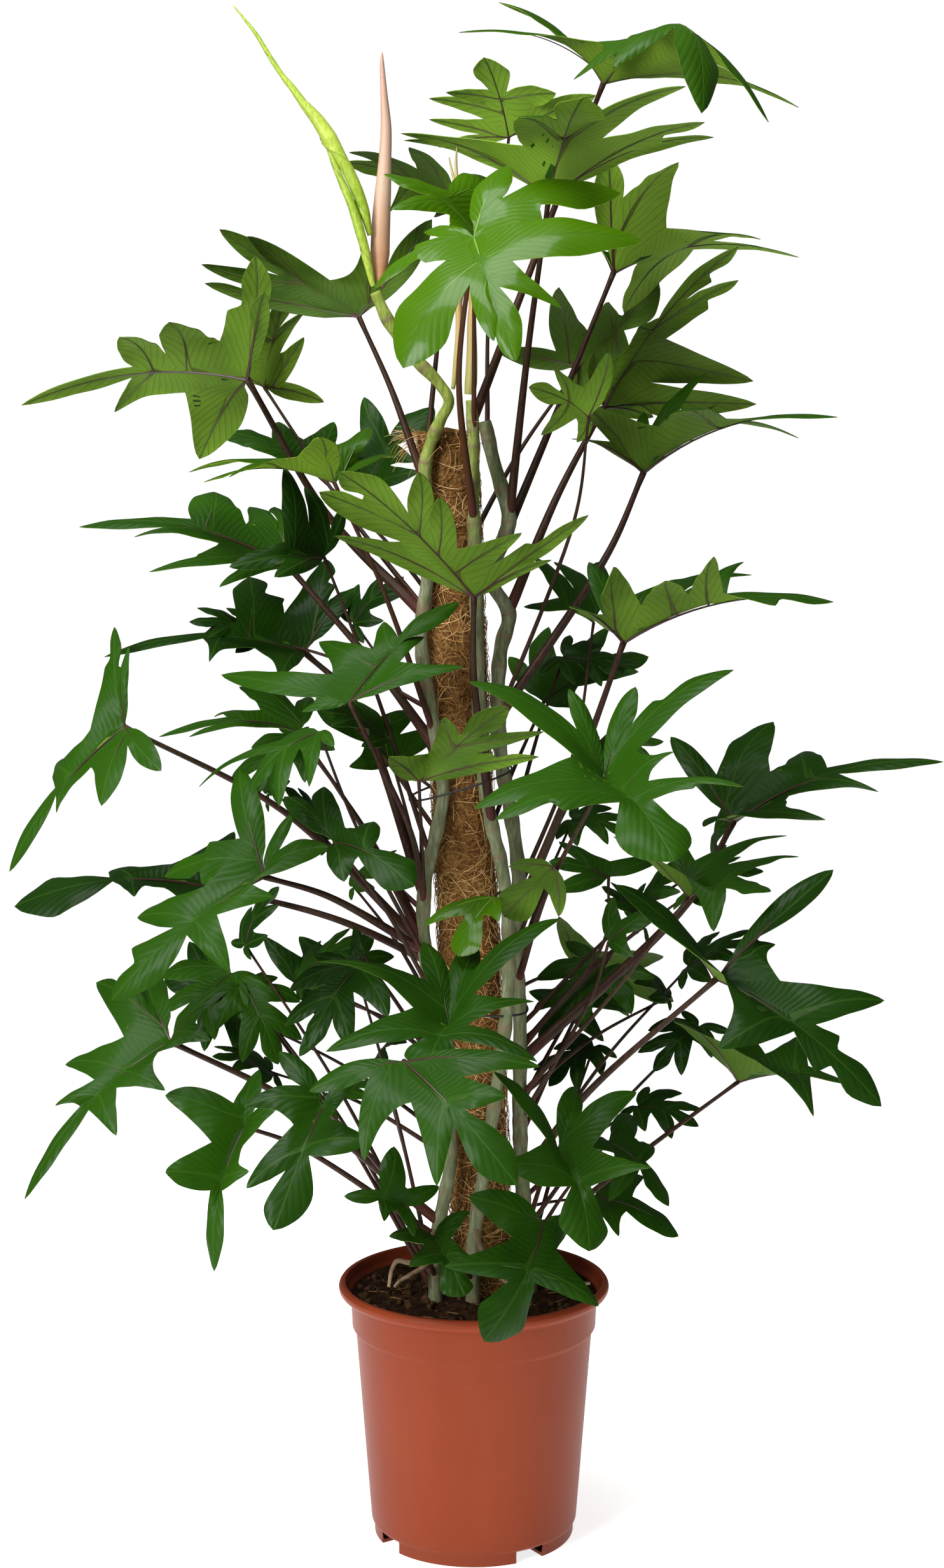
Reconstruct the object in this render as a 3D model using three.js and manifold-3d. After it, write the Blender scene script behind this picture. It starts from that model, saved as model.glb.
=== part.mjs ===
// A climbing philodendron with deeply cut leaves, on a coir pole in a terracotta-coloured nursery pot.
// Millimetres, +Z up, the pot's axis on X = Y = 0, its underside at Z = 0, the viewer on the -Y side.
import * as THREE from 'three';
import { mergeVertices } from 'three/addons/utils/BufferGeometryUtils.js';
import Module from 'manifold-3d';

const wasm = await Module();
wasm.setup();

// The gap that touching pieces keep.
const GAP = 0.3;

// The pot's walls as [radius, height]: the outside from the foot up, the inside from the mouth down.
const POT = {
  outside: [[99, 0], [99, 11], [102, 14], [118, 202], [121.5, 204], [123, 233], [133, 237.5],
    [135, 240.5], [135, 244.5], [132.5, 248]],
  inside: [[128.5, 248], [126, 239], [120.5, 229], [119.5, 202], [116, 198], [100, 16], [97, 3]],
  channel: { count: 4, turn: 33.5, width: 31, height: 12, start: 48, reach: 110, skin: 2 },
  sides: 32,
};
// The soil is heaped toward the middle: shares of its width, and how much of the crown is reached there.
const SOIL = { height: 235, crown: 3, heap: [[1, 0], [0.75, 0.35], [0.4, 1], [0, 1]], sides: 28 };
const POLE = {
  foot: new THREE.Vector3(20, 0, 20), top: new THREE.Vector3(-28, 0, 1100),
  stakeRadius: 15, stakeShort: 16, stakeSides: 14,
  sleeveRadius: 30, sleeveFoot: 222, lump: 0.9, dome: 6, rings: 13, sides: 16,
};
// Reach is how far from the pole's axis a stalk still lies inside a tie.
const WIRE = { radius: 1.1, sides: 5, reach: 60, cornerSides: 12 };
const ROOT = { radii: [3, 2.6, 2.2, 1.6], steps: 6, sides: 4 };
// A blade's shares are of the length of a lobe, a rib or the leaf: where two lobes may part, how high a
// vein arches, how far it bows back, and where the lobes start along the midrib and the hind ribs.
// Wide lobes get two rows of corners, the others one.
const BLADE = {
  thickness: 0.8, partings: [0.42, 0.38, 0.34, 0.3, 0.26], touching: 0.7,
  arch: 0.22, bow: 0.07, fold: 0.22, hem: 4,
  tipWidth: 0.18, sideWidth: 0.165, crowding: 0.45, crest: 0.9, round: 0.7,
  midribStops: [0.42, 0.27, 0.15], hindStops: [0.13, 0.27],
  wide: 24, wideRows: [0.34, 0.72], rows: [0.45],
};
// A stalk's thickness is a share of its leaf's length. It swells at the vine, round a short collar.
const STALK = {
  share: 0.0155, least: 1.5, swell: 1.7, neck: 1.15, end: 0.8, collar: 18, rise: 0.05, sides: 4, steps: 5,
};
// How far a shoot may be lowered onto its stem.
const SHOOT_FALL = 8;
// How far the end of a stalk may be drawn back from the knee to clear the blade.
const DRAW_BACK = 12;
// A vine has a ring at each of its places, and between places further apart than this.
const VINE = { span: 60, sides: 6 };

// Where the eye stands: its distance in front of the pot's axis and its height over the floor.
const EYE = { distance: 2600, height: 1053 };

// A place is [across, depth, height]. Across and height are read on the upright plane through the
// pot's axis as the eye sees them, and depth slides the place back along its line of sight.
function seen([across, depth, height]) {
  const spread = (EYE.distance + depth) / EYE.distance;
  return new THREE.Vector3(across * spread, depth, EYE.height + (height - EYE.height) * spread);
}

// Each vine is a list of places from the soil up. A shoot or a cut end closes it at the top.
const VINES = {
  left: {
    radius: 7, colour: 0x7d8a5c,
    path: [[-38, -36, 150], [-37, -37, 285], [-24, -40, 362], [-26, -38, 413], [-36, -30, 508],
      [-50, -24, 585], [-48, -28, 649], [-35, -35, 706], [-31, -37, 738], [-49, -29, 852],
      [-53, -26, 891], [-45, -35, 967], [-48, -34, 1018], [-49, -36, 1059], [-43, -38, 1085],
      [-33, -41, 1108], [-25, -43, 1126], [-36, -45, 1145], [-60, -50, 1170], [-85, -54, 1205],
      [-99, -55, 1235]],
    taper: { from: 1062, radius: 6.2 },
    roots: [[[-37, -38, 298], [-58, -78, 266], [-80, -92, 264], [-86, -100, 240]],
      [[-37, -38, 270], [-66, -60, 250], [-80, -70, 240]]],
  },
  centre: {
    radius: 7, colour: 0x8a9268,
    path: [[0, -45, 150], [0, -44, 285], [11, -42, 362], [19, -40, 413], [32, -34, 508],
      [35, -32, 585], [30, -34, 649], [17, -39, 706], [8, -41, 763], [4, -42, 859],
      [2, -41, 954], [0, -40, 1012], [0, -40, 1082], [-3, -42, 1127]],
    taper: { from: 1000, radius: 6 },
    roots: [[[0, -45, 300], [14, -78, 262], [30, -92, 246], [44, -96, 240]]],
  },
  right: {
    radius: 7.5, colour: 0x86906f,
    path: [[57, -8, 150], [54, -8, 285], [48, -6, 349], [46, -2, 413], [46, 0, 508], [42, 2, 585],
      [45, 4, 649], [36, -2, 719], [28, -12, 763], [24, -18, 827], [27, -10, 878], [35, -6, 913],
      [18, -16, 945], [22, -8, 967], [35, -4, 1005], [32, -4, 1024], [19, -6, 1069], [11, -8, 1106]],
    taper: { from: 1090, radius: 6.5 },
    roots: [[[54, -10, 292], [76, -58, 250], [104, -76, 243], [116, -60, 242]]],
  },
  back: {
    radius: 7, colour: 0x7c8562,
    path: [[11, 44, 150], [10, 44, 285], [4, 44, 400], [-2, 43, 550], [-8, 42, 700],
      [-12, 43, 850], [-20, 42, 975]],
    taper: { from: 960, radius: 6 },
    roots: [],
  },
};

// Each leaf: the height of its node on the vine, its knee where stalk and blade meet, its tip, and the
// lobes to the left and right of the tip as seen from above, from the tip back. A fourth number is a
// lobe's half width as a share of its length. Via is a place on the stalk's way, and arch is for a
// midrib that arches more than the others.
const LEAVES = {
  left: [
    { node: 1065, knee: [-20, 20, 1320], tip: [-130, 10, 1365, 0.1],
      left: [[-125, -30, 1375, 0.1], [-65, -70, 1380, 0.14]],
      right: [[-85, 40, 1315, 0.1], [-40, 30, 1310]], via: [-35, -20, 1195] },
    { node: 1045, knee: [-115, 0, 1210], tip: [-255, 10, 1298, 0.07],
      left: [[-227, -20, 1291, 0.12], [-110, -5, 1280, 0.2], [-42, -5, 1308]],
      right: [[-273, -10, 1263, 0.08], [-270, 0, 1244, 0.08]] },
    { node: 915, knee: [-227, -80, 1148], tip: [-453, -60, 1122, 0.05],
      left: [[-355, -120, 1190, 0.26], [-305, -150, 1205, 0.24], [-219, -130, 1271],
        [-210, -170, 1235, 0.12]],
      right: [[-360, -20, 1115, 0.12], [-275, 10, 1068, 0.22]], via: [-145, 10, 1010] },
    { node: 920, knee: [-210, 100, 1140], tip: [-185, 50, 1238, 0.1],
      left: [[-170, 80, 1215, 0.1], [-170, 100, 1190, 0.14], [-150, 130, 1125]],
      right: [[-240, 30, 1210], [-291, 50, 1179, 0.12]], via: [-130, 60, 1020] },
    { node: 790, knee: [-140, -80, 1045], tip: [-270, -120, 1045, 0.08],
      left: [[-245, -160, 1050, 0.09], [-155, -170, 1090]],
      right: [[-285, -60, 1055, 0.1], [-105, -20, 1100], [-75, 0, 1070]], via: [-90, -60, 935] },
    { node: 675, knee: [-150, -60, 970], tip: [-245, -120, 960, 0.1],
      left: [[-200, -150, 950, 0.13]],
      right: [[-190, -60, 1060, 0.13], [-170, -50, 1040], [-130, -40, 1020]], via: [-100, -60, 840] },
    { node: 780, knee: [-185, 20, 960], tip: [-395, 20, 1000, 0.06],
      left: [[-340, -20, 990, 0.05], [-325, -50, 955, 0.07], [-255, -60, 940, 0.1]],
      right: [[-260, 90, 1035, 0.28], [-225, 110, 1020, 0.2], [-200, 110, 1020, 0.2]],
      via: [-90, -10, 850] },
    { node: 635, knee: [-170, 40, 875], tip: [-370, 40, 870, 0.045],
      left: [[-265, -20, 865, 0.08], [-195, -30, 850]],
      right: [[-250, 90, 905, 0.13], [-225, 120, 950, 0.26], [-148, 110, 968], [-115, 90, 940]],
      via: [-120, 20, 825] },
    { node: 635, knee: [-125, -130, 825], tip: [-15, -80, 925, 0.09],
      left: [[-90, -80, 905], [-155, -80, 885, 0.14], [-253, -70, 852, 0.09], [-172, -130, 815, 0.14]],
      right: [[-50, -100, 890], [-10, -140, 860, 0.08]], via: [-65, -100, 700] },
    { node: 585, knee: [-350, -40, 800], tip: [-465, -60, 655, 0.055],
      left: [[-418, -100, 714, 0.06], [-373, -120, 721], [-313, -100, 756, 0.2]],
      right: [[-418, 0, 763, 0.15], [-360, 30, 900, 0.08], [-345, -20, 880, 0.08]],
      via: [-190, -30, 715] },
    { node: 585, knee: [-175, -40, 795], tip: [-315, -60, 790, 0.07],
      left: [[-285, -110, 790, 0.08]],
      right: [[-260, 0, 810, 0.1], [-235, 20, 840, 0.2], [-165, 30, 830]] },
    { node: 570, knee: [-155, -150, 795], tip: [-225, -200, 735, 0.15],
      left: [[-195, -230, 720, 0.12], [-165, -220, 740, 0.1], [-140, -190, 780]],
      right: [[-275, -150, 740, 0.05], [-195, -120, 785]], via: [-120, -110, 705] },
    { node: 625, knee: [-55, -140, 745], tip: [35, -150, 820, 0.14],
      left: [[70, -180, 795, 0.06], [65, -200, 770, 0.07]],
      right: [[-30, -110, 810, 0.2], [-85, -170, 770, 0.24]] },
    { node: 535, knee: [-140, -150, 685], tip: [-60, -210, 640, 0.28],
      left: [[-100, -120, 705, 0.2], [-150, -90, 740, 0.2], [-190, -90, 730, 0.2]],
      right: [[-130, -200, 645, 0.24]] },
    { node: 580, knee: [-210, -150, 650], tip: [-363, -180, 526, 0.13],
      left: [[-245, -210, 555], [-200, -175, 630], [-145, -150, 680, 0.22], [-180, -115, 715, 0.12]],
      right: [[-337, -135, 609], [-310, -110, 650, 0.15], [-235, -70, 760, 0.15]],
      via: [-145, -100, 630] },
    { node: 445, knee: [-110, -20, 570], tip: [-175, -70, 470, 0.09],
      left: [[-135, -60, 510, 0.14], [-80, 10, 570]],
      right: [[-120, 10, 600]] },
    { node: 450, knee: [-25, -190, 500], tip: [-50, -270, 455, 0.34],
      left: [[63, -250, 465, 0.13], [60, -190, 525, 0.08], [86, -130, 608, 0.09], [0, -100, 585]],
      right: [[-148, -250, 475, 0.15], [-155, -170, 565, 0.05], [-50, -110, 585, 0.16]] },
    { node: 315, knee: [-304, -110, 485], tip: [-450, -170, 327, 0.055],
      left: [[-358, -180, 391], [-309, -160, 436, 0.14], [-264, -130, 486, 0.2], [-240, -80, 545]],
      right: [[-419, -150, 421, 0.12], [-409, -90, 462, 0.13], [-378, -30, 544], [-325, 0, 555]],
      via: [-175, -60, 420] },
    { node: 415, knee: [-70, -260, 465], tip: [43, -350, 341, 0.15],
      left: [[32, -320, 430, 0.2], [66, -280, 460, 0.1]],
      right: [[-37, -350, 340, 0.13], [-110, -320, 365, 0.11], [-165, -270, 435]] },
    { node: 280, knee: [-151, -220, 420], tip: [-201, -310, 296, 0.2],
      left: [[-105, -270, 385, 0.24], [-120, -200, 445, 0.2]],
      right: [[-228, -290, 338], [-230, -240, 420, 0.15], [-195, -190, 475, 0.22]] },
    { node: 300, knee: [-230, -140, 400], tip: [-260, -200, 255, 0.09],
      left: [[-225, -190, 355, 0.2], [-190, -150, 425]],
      right: [[-309, -200, 354, 0.24], [-309, -140, 431, 0.18], [-215, -110, 457, 0.28]],
      via: [-175, -110, 380] },
    { node: 260, knee: [-70, -150, 320], tip: [-130, -170, 330, 0.13],
      left: [[-90, -180, 305, 0.2], [-60, -180, 290, 0.2]],
      right: [[-80, -130, 380, 0.24], [-35, -130, 340, 0.22]] },
  ],
  centre: [
    { node: 1105, knee: [130, -30, 1445], tip: [228, -190, 1414, 0.16],
      left: [[295, -120, 1405, 0.16], [325, -40, 1420, 0.1]],
      right: [[140, -150, 1460, 0.16], [100, -90, 1448, 0.12], [-15, -60, 1495, 0.09], [25, 0, 1525, 0.2]],
      via: [75, 80, 1305], arch: 0.8 },
    { node: 1080, knee: [0, -90, 1295], tip: [-90, -120, 1353, 0.12],
      left: [[-83, -150, 1318, 0.13], [-30, -150, 1288]],
      right: [[20, -20, 1345, 0.22], [45, -20, 1310, 0.2]] },
    { node: 1005, knee: [0, -180, 1290], tip: [42, -280, 1166, 0.12],
      left: [[88, -240, 1219, 0.09], [169, -190, 1286, 0.16], [147, -130, 1334, 0.2], [34, -120, 1362, 0.22]],
      right: [[20, -270, 1186, 0.16], [-71, -250, 1159, 0.34], [-100, -180, 1238, 0.09],
        [-50, -150, 1295]],
      via: [-15, -90, 1145] },
    { node: 705, knee: [0, -120, 930], tip: [-135, -182, 1055, 0.14],
      left: [[-55, -182, 1055], [-35, -170, 1030], [48, -152, 994, 0.1], [115, -161, 1012, 0.07],
        [78, -138, 967, 0.07]],
      right: [[-155, -172, 1035], [-140, -150, 991, 0.07]],
      via: [0, -90, 850] },
    { node: 635, knee: [20, -110, 630], tip: [-15, -150, 570, 0.35],
      left: [[25, -150, 605]],
      right: [[-50, -130, 601, 0.13]] },
    { node: 260, knee: [-40, -130, 290], tip: [-10, -190, 230, 0.36],
      left: [[0, -170, 265], [-5, -120, 315, 0.24]],
      right: [[-65, -180, 260, 0.2], [-85, -140, 290, 0.24]] },
  ],
  right: [
    { node: 1095, knee: [35, 60, 1390], tip: [10, 10, 1470, 0.26],
      left: [[82, 10, 1434, 0.2], [122, 30, 1432, 0.16]],
      right: [[-28, 30, 1435, 0.12], [-45, 60, 1429, 0.09], [-45, 80, 1408, 0.08],
        [-35, 100, 1380, 0.09]],
      via: [15, 30, 1220] },
    { node: 1005, knee: [75, -70, 1330], tip: [110, -230, 1430],
      left: [[212, -150, 1441, 0.08], [231, -90, 1405, 0.1], [240, -40, 1390, 0.08]],
      right: [[45, -190, 1410, 0.3], [-73, -60, 1394, 0.07], [-70, -10, 1387, 0.06]] },
    { node: 985, knee: [140, 60, 1255], tip: [325, 60, 1270, 0.05],
      left: [[150, 120, 1215, 0.24], [125, 60, 1280, 0.1]],
      right: [[287, 20, 1288, 0.14], [205, -10, 1365, 0.22], [135, 10, 1370, 0.2]],
      via: [85, 60, 1120] },
    { node: 915, knee: [130, -20, 1120], tip: [265, -60, 1281, 0.07],
      left: [[265, -60, 1247, 0.12], [280, 60, 1146, 0.1], [283, 40, 1123, 0.1], [180, 20, 1110]],
      right: [[165, -60, 1200], [120, -40, 1175, 0.2]] },
    { node: 810, knee: [115, -150, 1110], tip: [55, -110, 1140],
      left: [[80, -140, 1160, 0.18], [135, -170, 1175, 0.2]],
      right: [[67, -90, 1092, 0.12], [103, -100, 1085, 0.14]], via: [100, -60, 1005] },
    { node: 810, knee: [170, -40, 1055], tip: [364, -60, 1110, 0.07],
      left: [[325, 10, 1089, 0.05], [243, 0, 1122, 0.09], [234, -10, 1155], [170, 10, 1115, 0.14]],
      right: [[205, -130, 1115, 0.22], [96, -90, 1138, 0.11], [98, -90, 1088, 0.04]],
      via: [135, -30, 975] },
    { node: 635, knee: [120, 30, 905], tip: [50, 10, 920, 0.14],
      left: [[100, 0, 915]],
      right: [[60, 60, 970], [80, 90, 965], [125, 110, 965]], via: [100, 20, 775] },
    { node: 610, knee: [150, -110, 885], tip: [360, -120, 925, 0.07],
      left: [[270, -70, 965, 0.08], [278, -25, 952, 0.07], [115, -90, 965]],
      right: [[240, -180, 970, 0.14], [192, -190, 946, 0.18], [140, -170, 960, 0.2],
        [95, -170, 920]],
      via: [105, -80, 760] },
    { node: 545, knee: [130, -180, 745], tip: [200, -300, 665, 0.3],
      left: [[270, -260, 740, 0.07], [200, -220, 775, 0.08], [260, -160, 857, 0.1], [162, -150, 840]],
      right: [[22, -290, 707, 0.13], [0, -260, 718, 0.13], [-5, -170, 845, 0.11], [95, -150, 838, 0.14]],
      via: [75, -100, 640] },
    { node: 465, knee: [260, 30, 705], tip: [470, 0, 765, 0.05],
      left: [[330, 90, 775, 0.2], [300, 80, 805, 0.26], [197, 80, 790, 0.15]],
      right: [[405, -40, 735, 0.06], [352, -60, 707, 0.08], [230, -50, 700, 0.12]],
      via: [215, 0, 625] },
    { node: 580, knee: [80, -140, 660], tip: [30, -90, 610, 0.3],
      left: [[35, -110, 660]],
      right: [[85, -110, 610]] },
    { node: 475, knee: [135, 20, 650], tip: [75, 0, 665, 0.13],
      left: [[80, -20, 635]],
      right: [[85, 40, 685], [190, 60, 670, 0.12]], via: [130, 10, 585] },
    { node: 430, knee: [215, -90, 630], tip: [297, -150, 635, 0.24],
      left: [[325, -80, 670], [313, -30, 691, 0.12], [200, -30, 690]],
      right: [[240, -150, 595, 0.18], [140, -100, 690, 0.2]], via: [145, -80, 540] },
    { node: 405, knee: [135, -60, 585], tip: [185, -70, 615],
      left: [[140, -30, 630, 0.2]],
      right: [[160, -90, 570]], via: [120, -50, 535] },
    { node: 350, knee: [243, -150, 548], tip: [408, -210, 420, 0.12],
      left: [[411, -170, 526, 0.13], [302, -140, 582, 0.13], [360, -120, 657, 0.12]],
      right: [[245, -230, 478, 0.18], [143, -160, 642, 0.13]], via: [115, -100, 435] },
    { node: 285, knee: [265, 20, 445], tip: [405, 10, 430, 0.07],
      left: [[325, 80, 490, 0.12], [275, 90, 500, 0.22], [195, 70, 510, 0.14]],
      right: [[340, -40, 410, 0.09], [200, -20, 505, 0.14]], via: [170, 10, 375] },
    { node: 280, knee: [135, -60, 385], tip: [195, -110, 320],
      left: [[180, -40, 380], [160, 20, 410]],
      right: [[135, -120, 325], [100, -100, 380]] },
    { node: 300, knee: [85, -180, 375], tip: [115, -270, 275, 0.27],
      left: [[177, -240, 359, 0.1], [163, -150, 434, 0.14], [100, -110, 440, 0.2]],
      right: [[30, -240, 360, 0.28], [20, -150, 455, 0.13]] },
    { node: 260, knee: [70, -140, 305], tip: [10, -215, 185, 0.25],
      left: [[125, -200, 220, 0.13], [100, -100, 300]],
      right: [[-30, -200, 260, 0.13], [-5, -150, 330, 0.26]] },
  ],
  back: [
    { node: 955, knee: [105, 160, 1160], tip: [185, 110, 1245],
      left: [[155, 130, 1145], [100, 160, 1120]],
      right: [[135, 90, 1225], [85, 100, 1240], [25, 170, 1175]] },
    { node: 890, knee: [-160, 100, 1055], tip: [-255, 100, 1095],
      left: [[-225, 50, 1080]],
      right: [[-195, 150, 1105], [-140, 150, 1105]] },
    { node: 915, knee: [-110, 150, 1035], tip: [-40, 180, 1120],
      left: [[-110, 180, 1130], [-145, 170, 1080]],
      right: [[-60, 120, 1065], [-55, 110, 1055]] },
    { node: 625, knee: [70, 110, 825], tip: [175, 100, 870],
      left: [[135, 140, 900], [75, 170, 900], [35, 160, 870]],
      right: [[165, 70, 855], [110, 70, 820]] },
    { node: 700, knee: [-80, 90, 765], tip: [-160, 80, 825],
      left: [[-125, 50, 760]],
      right: [[-60, 120, 815], [-35, 130, 800]] },
    { node: 535, knee: [-265, 80, 640], tip: [-460, 60, 620],
      left: [[-340, 20, 630], [-285, 20, 610]],
      right: [[-365, 110, 655], [-240, 130, 695]] },
    { node: 495, knee: [100, 200, 560], tip: [200, 200, 525],
      left: [[155, 240, 510]],
      right: [[190, 170, 570], [85, 170, 610]] },
    { node: 445, knee: [-175, 120, 540], tip: [-100, 150, 590],
      left: [[-175, 160, 590], [-210, 140, 590]],
      right: [[-155, 90, 510]] },
    { node: 430, knee: [115, 110, 535], tip: [65, 90, 485],
      left: [[130, 90, 485], [155, 120, 515]],
      right: [[55, 120, 535], [100, 170, 570]] },
    { node: 350, knee: [-240, 130, 515], tip: [-310, 150, 550],
      left: [[-270, 100, 475], [-230, 90, 460]],
      right: [[-285, 180, 585], [-210, 160, 555]] },
    { node: 290, knee: [120, 40, 330], tip: [205, 30, 290],
      left: [[170, 90, 350]],
      right: [[145, 0, 290]] },
  ],
};

// Each shoot is a rolled leaf or a sheath: places from its foot to its tip, each with a radius.
const SHOOTS = {
  shoot_left: {
    colour: 0x9dbb5a, strands: [
      [[-104, -56, 1292, 2.5], [-109, -57, 1314, 5], [-117, -58, 1336, 6], [-126, -59, 1356, 6],
        [-135, -60, 1373, 6.5], [-145, -60, 1389, 8], [-156, -60, 1406, 6.4], [-169, -60, 1422, 4.6],
        [-182, -60, 1440, 3.4], [-192, -60, 1452, 2.6], [-204, -60, 1470, 2.3], [-217, -60, 1492, 2],
        [-231, -60, 1510, 1.3], [-241, -60, 1522, 0.6]],
      [[-101, -56, 1241, 2.4], [-103, -57, 1250, 3.2], [-108, -60, 1273, 4.4], [-115, -61, 1298, 5],
        [-124, -61, 1327, 4.2], [-137, -61, 1356, 3.2], [-145, -60, 1378, 2.6]],
    ],
  },
  sheath_left: {
    colour: 0xd7a789, strands: [
      [[-94, -51, 1241, 3.4], [-94, -47, 1262, 7.8], [-94, -45, 1274, 9.5], [-93, -44, 1305, 9.2],
        [-91, -44, 1336, 8], [-89, -44, 1368, 6.3], [-88, -44, 1400, 5.4], [-90, -45, 1432, 3.6],
        [-92, -45, 1464, 2.2], [-92, -45, 1475, 0.8]],
    ],
  },
  shoot_centre: {
    colour: 0xd9b880, strands: [
      [[-21, -45, 1138, 2], [-17, -47, 1168, 3.6], [-15, -48, 1196, 3.4], [-15, -48, 1225, 3.4],
        [-14, -48, 1238, 5], [-15, -48, 1254, 5.8], [-16, -47, 1273, 5], [-18, -46, 1305, 3.2],
        [-18, -45, 1337, 2.2], [-22, -45, 1356, 1.3], [-25, -45, 1370, 0.6]],
      [[-4, -42, 1133, 5.5], [-3, -43, 1145, 6.2], [-2, -44, 1171, 5.4], [-2, -45, 1211, 4.2],
        [-1, -45, 1222, 4.2], [-3, -45, 1241, 4], [-8, -45, 1273, 3.4], [-12, -45, 1305, 2.6],
        [-16, -45, 1337, 2.2], [-18, -45, 1362, 1.6], [-17, -45, 1381, 0.6]],
    ],
  },
};

const TIES = {
  tie_upper: { height: 748, slope: 0.3 },
  tie_lower: { height: 520, slope: -0.05 },
};

// Seeded noise from whole numbers, between 0 and 1.
function chance(...keys) {
  const sum = keys.reduce((total, key, i) => total + key * (127.1 + 311.7 * i), 0);
  const wave = Math.sin(sum) * 43758.5453;
  return wave - Math.floor(wave);
}

// A closed body from a geometry, with its seams joined and empty triangles left out.
function toManifold(geometry) {
  const bare = new THREE.BufferGeometry();
  bare.setAttribute('position', geometry.getAttribute('position'));
  bare.setIndex(geometry.index);
  const merged = mergeVertices(bare, 1e-3);
  const index = Array.from(merged.index.array);
  const kept = [];
  for (let i = 0; i < index.length; i += 3) {
    const [a, b, c] = index.slice(i, i + 3);
    if (a !== b && b !== c && c !== a) kept.push(a, b, c);
  }
  return new wasm.Manifold(new wasm.Mesh({
    numProp: 3,
    vertProperties: new Float32Array(merged.getAttribute('position').array),
    triVerts: new Uint32Array(kept),
  }));
}

function joined(bodies) {
  return bodies.reduce((whole, body) => whole.add(body));
}

function toGeometry(manifold) {
  const mesh = manifold.getMesh();
  const geometry = new THREE.BufferGeometry();
  geometry.setAttribute('position', new THREE.BufferAttribute(mesh.vertProperties, 3));
  geometry.setIndex(new THREE.BufferAttribute(mesh.triVerts, 1));
  return geometry;
}

function bodyOf(points, triangles) {
  const geometry = new THREE.BufferGeometry();
  geometry.setAttribute('position', new THREE.Float32BufferAttribute(points.flatMap((p) => p.toArray()), 3));
  geometry.setIndex(triangles.flat());
  return geometry;
}

function turned(profile, sides) {
  return new THREE.LatheGeometry(profile.map(([r, z]) => new THREE.Vector2(r, z)), sides)
    .rotateX(Math.PI / 2);
}

// A tube through points, with a radius at each point. A ring joins its end to its start.
function tube(points, radii, sides, ring = false) {
  const count = points.length;
  const corners = [];
  const faces = [];
  let across = null;
  for (let i = 0; i < count; i += 1) {
    const before = points[ring ? (i + count - 1) % count : Math.max(i - 1, 0)];
    const after = points[ring ? (i + 1) % count : Math.min(i + 1, count - 1)];
    const along = after.clone().sub(before).normalize();
    if (!across) across = Math.abs(along.z) < 0.7 ? new THREE.Vector3(0, 0, 1) : new THREE.Vector3(1, 0, 0);
    across = across.clone().addScaledVector(along, -across.dot(along)).normalize();
    const side = new THREE.Vector3().crossVectors(along, across);
    for (let k = 0; k < sides; k += 1) {
      const angle = 2 * Math.PI * (k + 0.5) / sides;
      corners.push(points[i].clone()
        .addScaledVector(across, radii[i] * Math.cos(angle))
        .addScaledVector(side, radii[i] * Math.sin(angle)));
    }
  }
  const spans = ring ? count : count - 1;
  for (let i = 0; i < spans; i += 1) {
    const here = i * sides;
    const next = ((i + 1) % count) * sides;
    for (let k = 0; k < sides; k += 1) {
      const turn = (k + 1) % sides;
      faces.push([here + k, here + turn, next + turn], [here + k, next + turn, next + k]);
    }
  }
  if (!ring) {
    const last = (count - 1) * sides;
    for (let k = 1; k < sides - 1; k += 1) {
      faces.push([0, k + 1, k], [last, last + k, last + k + 1]);
    }
  }
  return toManifold(bodyOf(corners, faces));
}

function smoothTube(places, radii, steps, sides) {
  const curve = new THREE.CatmullRomCurve3(places, false, 'centripetal');
  const points = [];
  const sizes = [];
  for (let i = 0; i <= steps; i += 1) {
    const t = i / steps;
    points.push(curve.getPoint(t));
    const at = t * (radii.length - 1);
    const low = Math.min(Math.floor(at), radii.length - 2);
    sizes.push(THREE.MathUtils.lerp(radii[low], radii[low + 1], at - low));
  }
  return tube(points, sizes, sides);
}

// The pole leans to the left as it rises.
function poleAxis(height) {
  const share = (height - POLE.foot.z) / (POLE.top.z - POLE.foot.z);
  return POLE.foot.clone().lerp(POLE.top, share);
}

// The rings of a vine: its places, and one more halfway along each long gap.
function vineLine(name) {
  const places = VINES[name].path.map(seen);
  const curve = new THREE.CatmullRomCurve3(places, false, 'centripetal');
  return places.flatMap((here, i) => {
    const next = places[i + 1];
    if (!next || here.distanceTo(next) < VINE.span) return [here];
    return [here, curve.getPoint((i + 0.5) / (places.length - 1))];
  });
}

function vineRadius(name, height) {
  const { radius, taper } = VINES[name];
  return height > taper.from ? taper.radius : radius;
}

function vinePoint(name, height) {
  const line = vineLine(name);
  const i = Math.max(line.findIndex((point) => point.z >= height), 1);
  const share = (height - line[i - 1].z) / (line[i].z - line[i - 1].z);
  return line[i - 1].clone().lerp(line[i], share);
}

// Leaf blades.

function slide(start, end, lift, share) {
  const control = start.clone().add(end).multiplyScalar(0.5).add(lift);
  const curve = new THREE.QuadraticBezierCurve3(start, control, end);
  const point = curve.getPoint(share);
  return { point, along: curve.getTangent(share) };
}

// The frame of a leaf: its knee, its tip and the way its upper face looks.
function leafFrame(leaf) {
  const knee = seen(leaf.knee);
  const tip = seen(leaf.tip);
  const hindLeft = seen(leaf.left.at(-1));
  const hindRight = seen(leaf.right.at(-1));
  const ahead = tip.clone().sub(knee);
  const spread = hindLeft.clone().sub(knee).normalize().sub(hindRight.clone().sub(knee).normalize());
  const up = new THREE.Vector3().crossVectors(ahead, spread).normalize();
  return { knee, tip, up, length: ahead.length() };
}

function midribLift(leaf, frame) {
  return frame.up.clone().multiplyScalar((leaf.arch ?? BLADE.arch) * frame.length);
}

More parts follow.
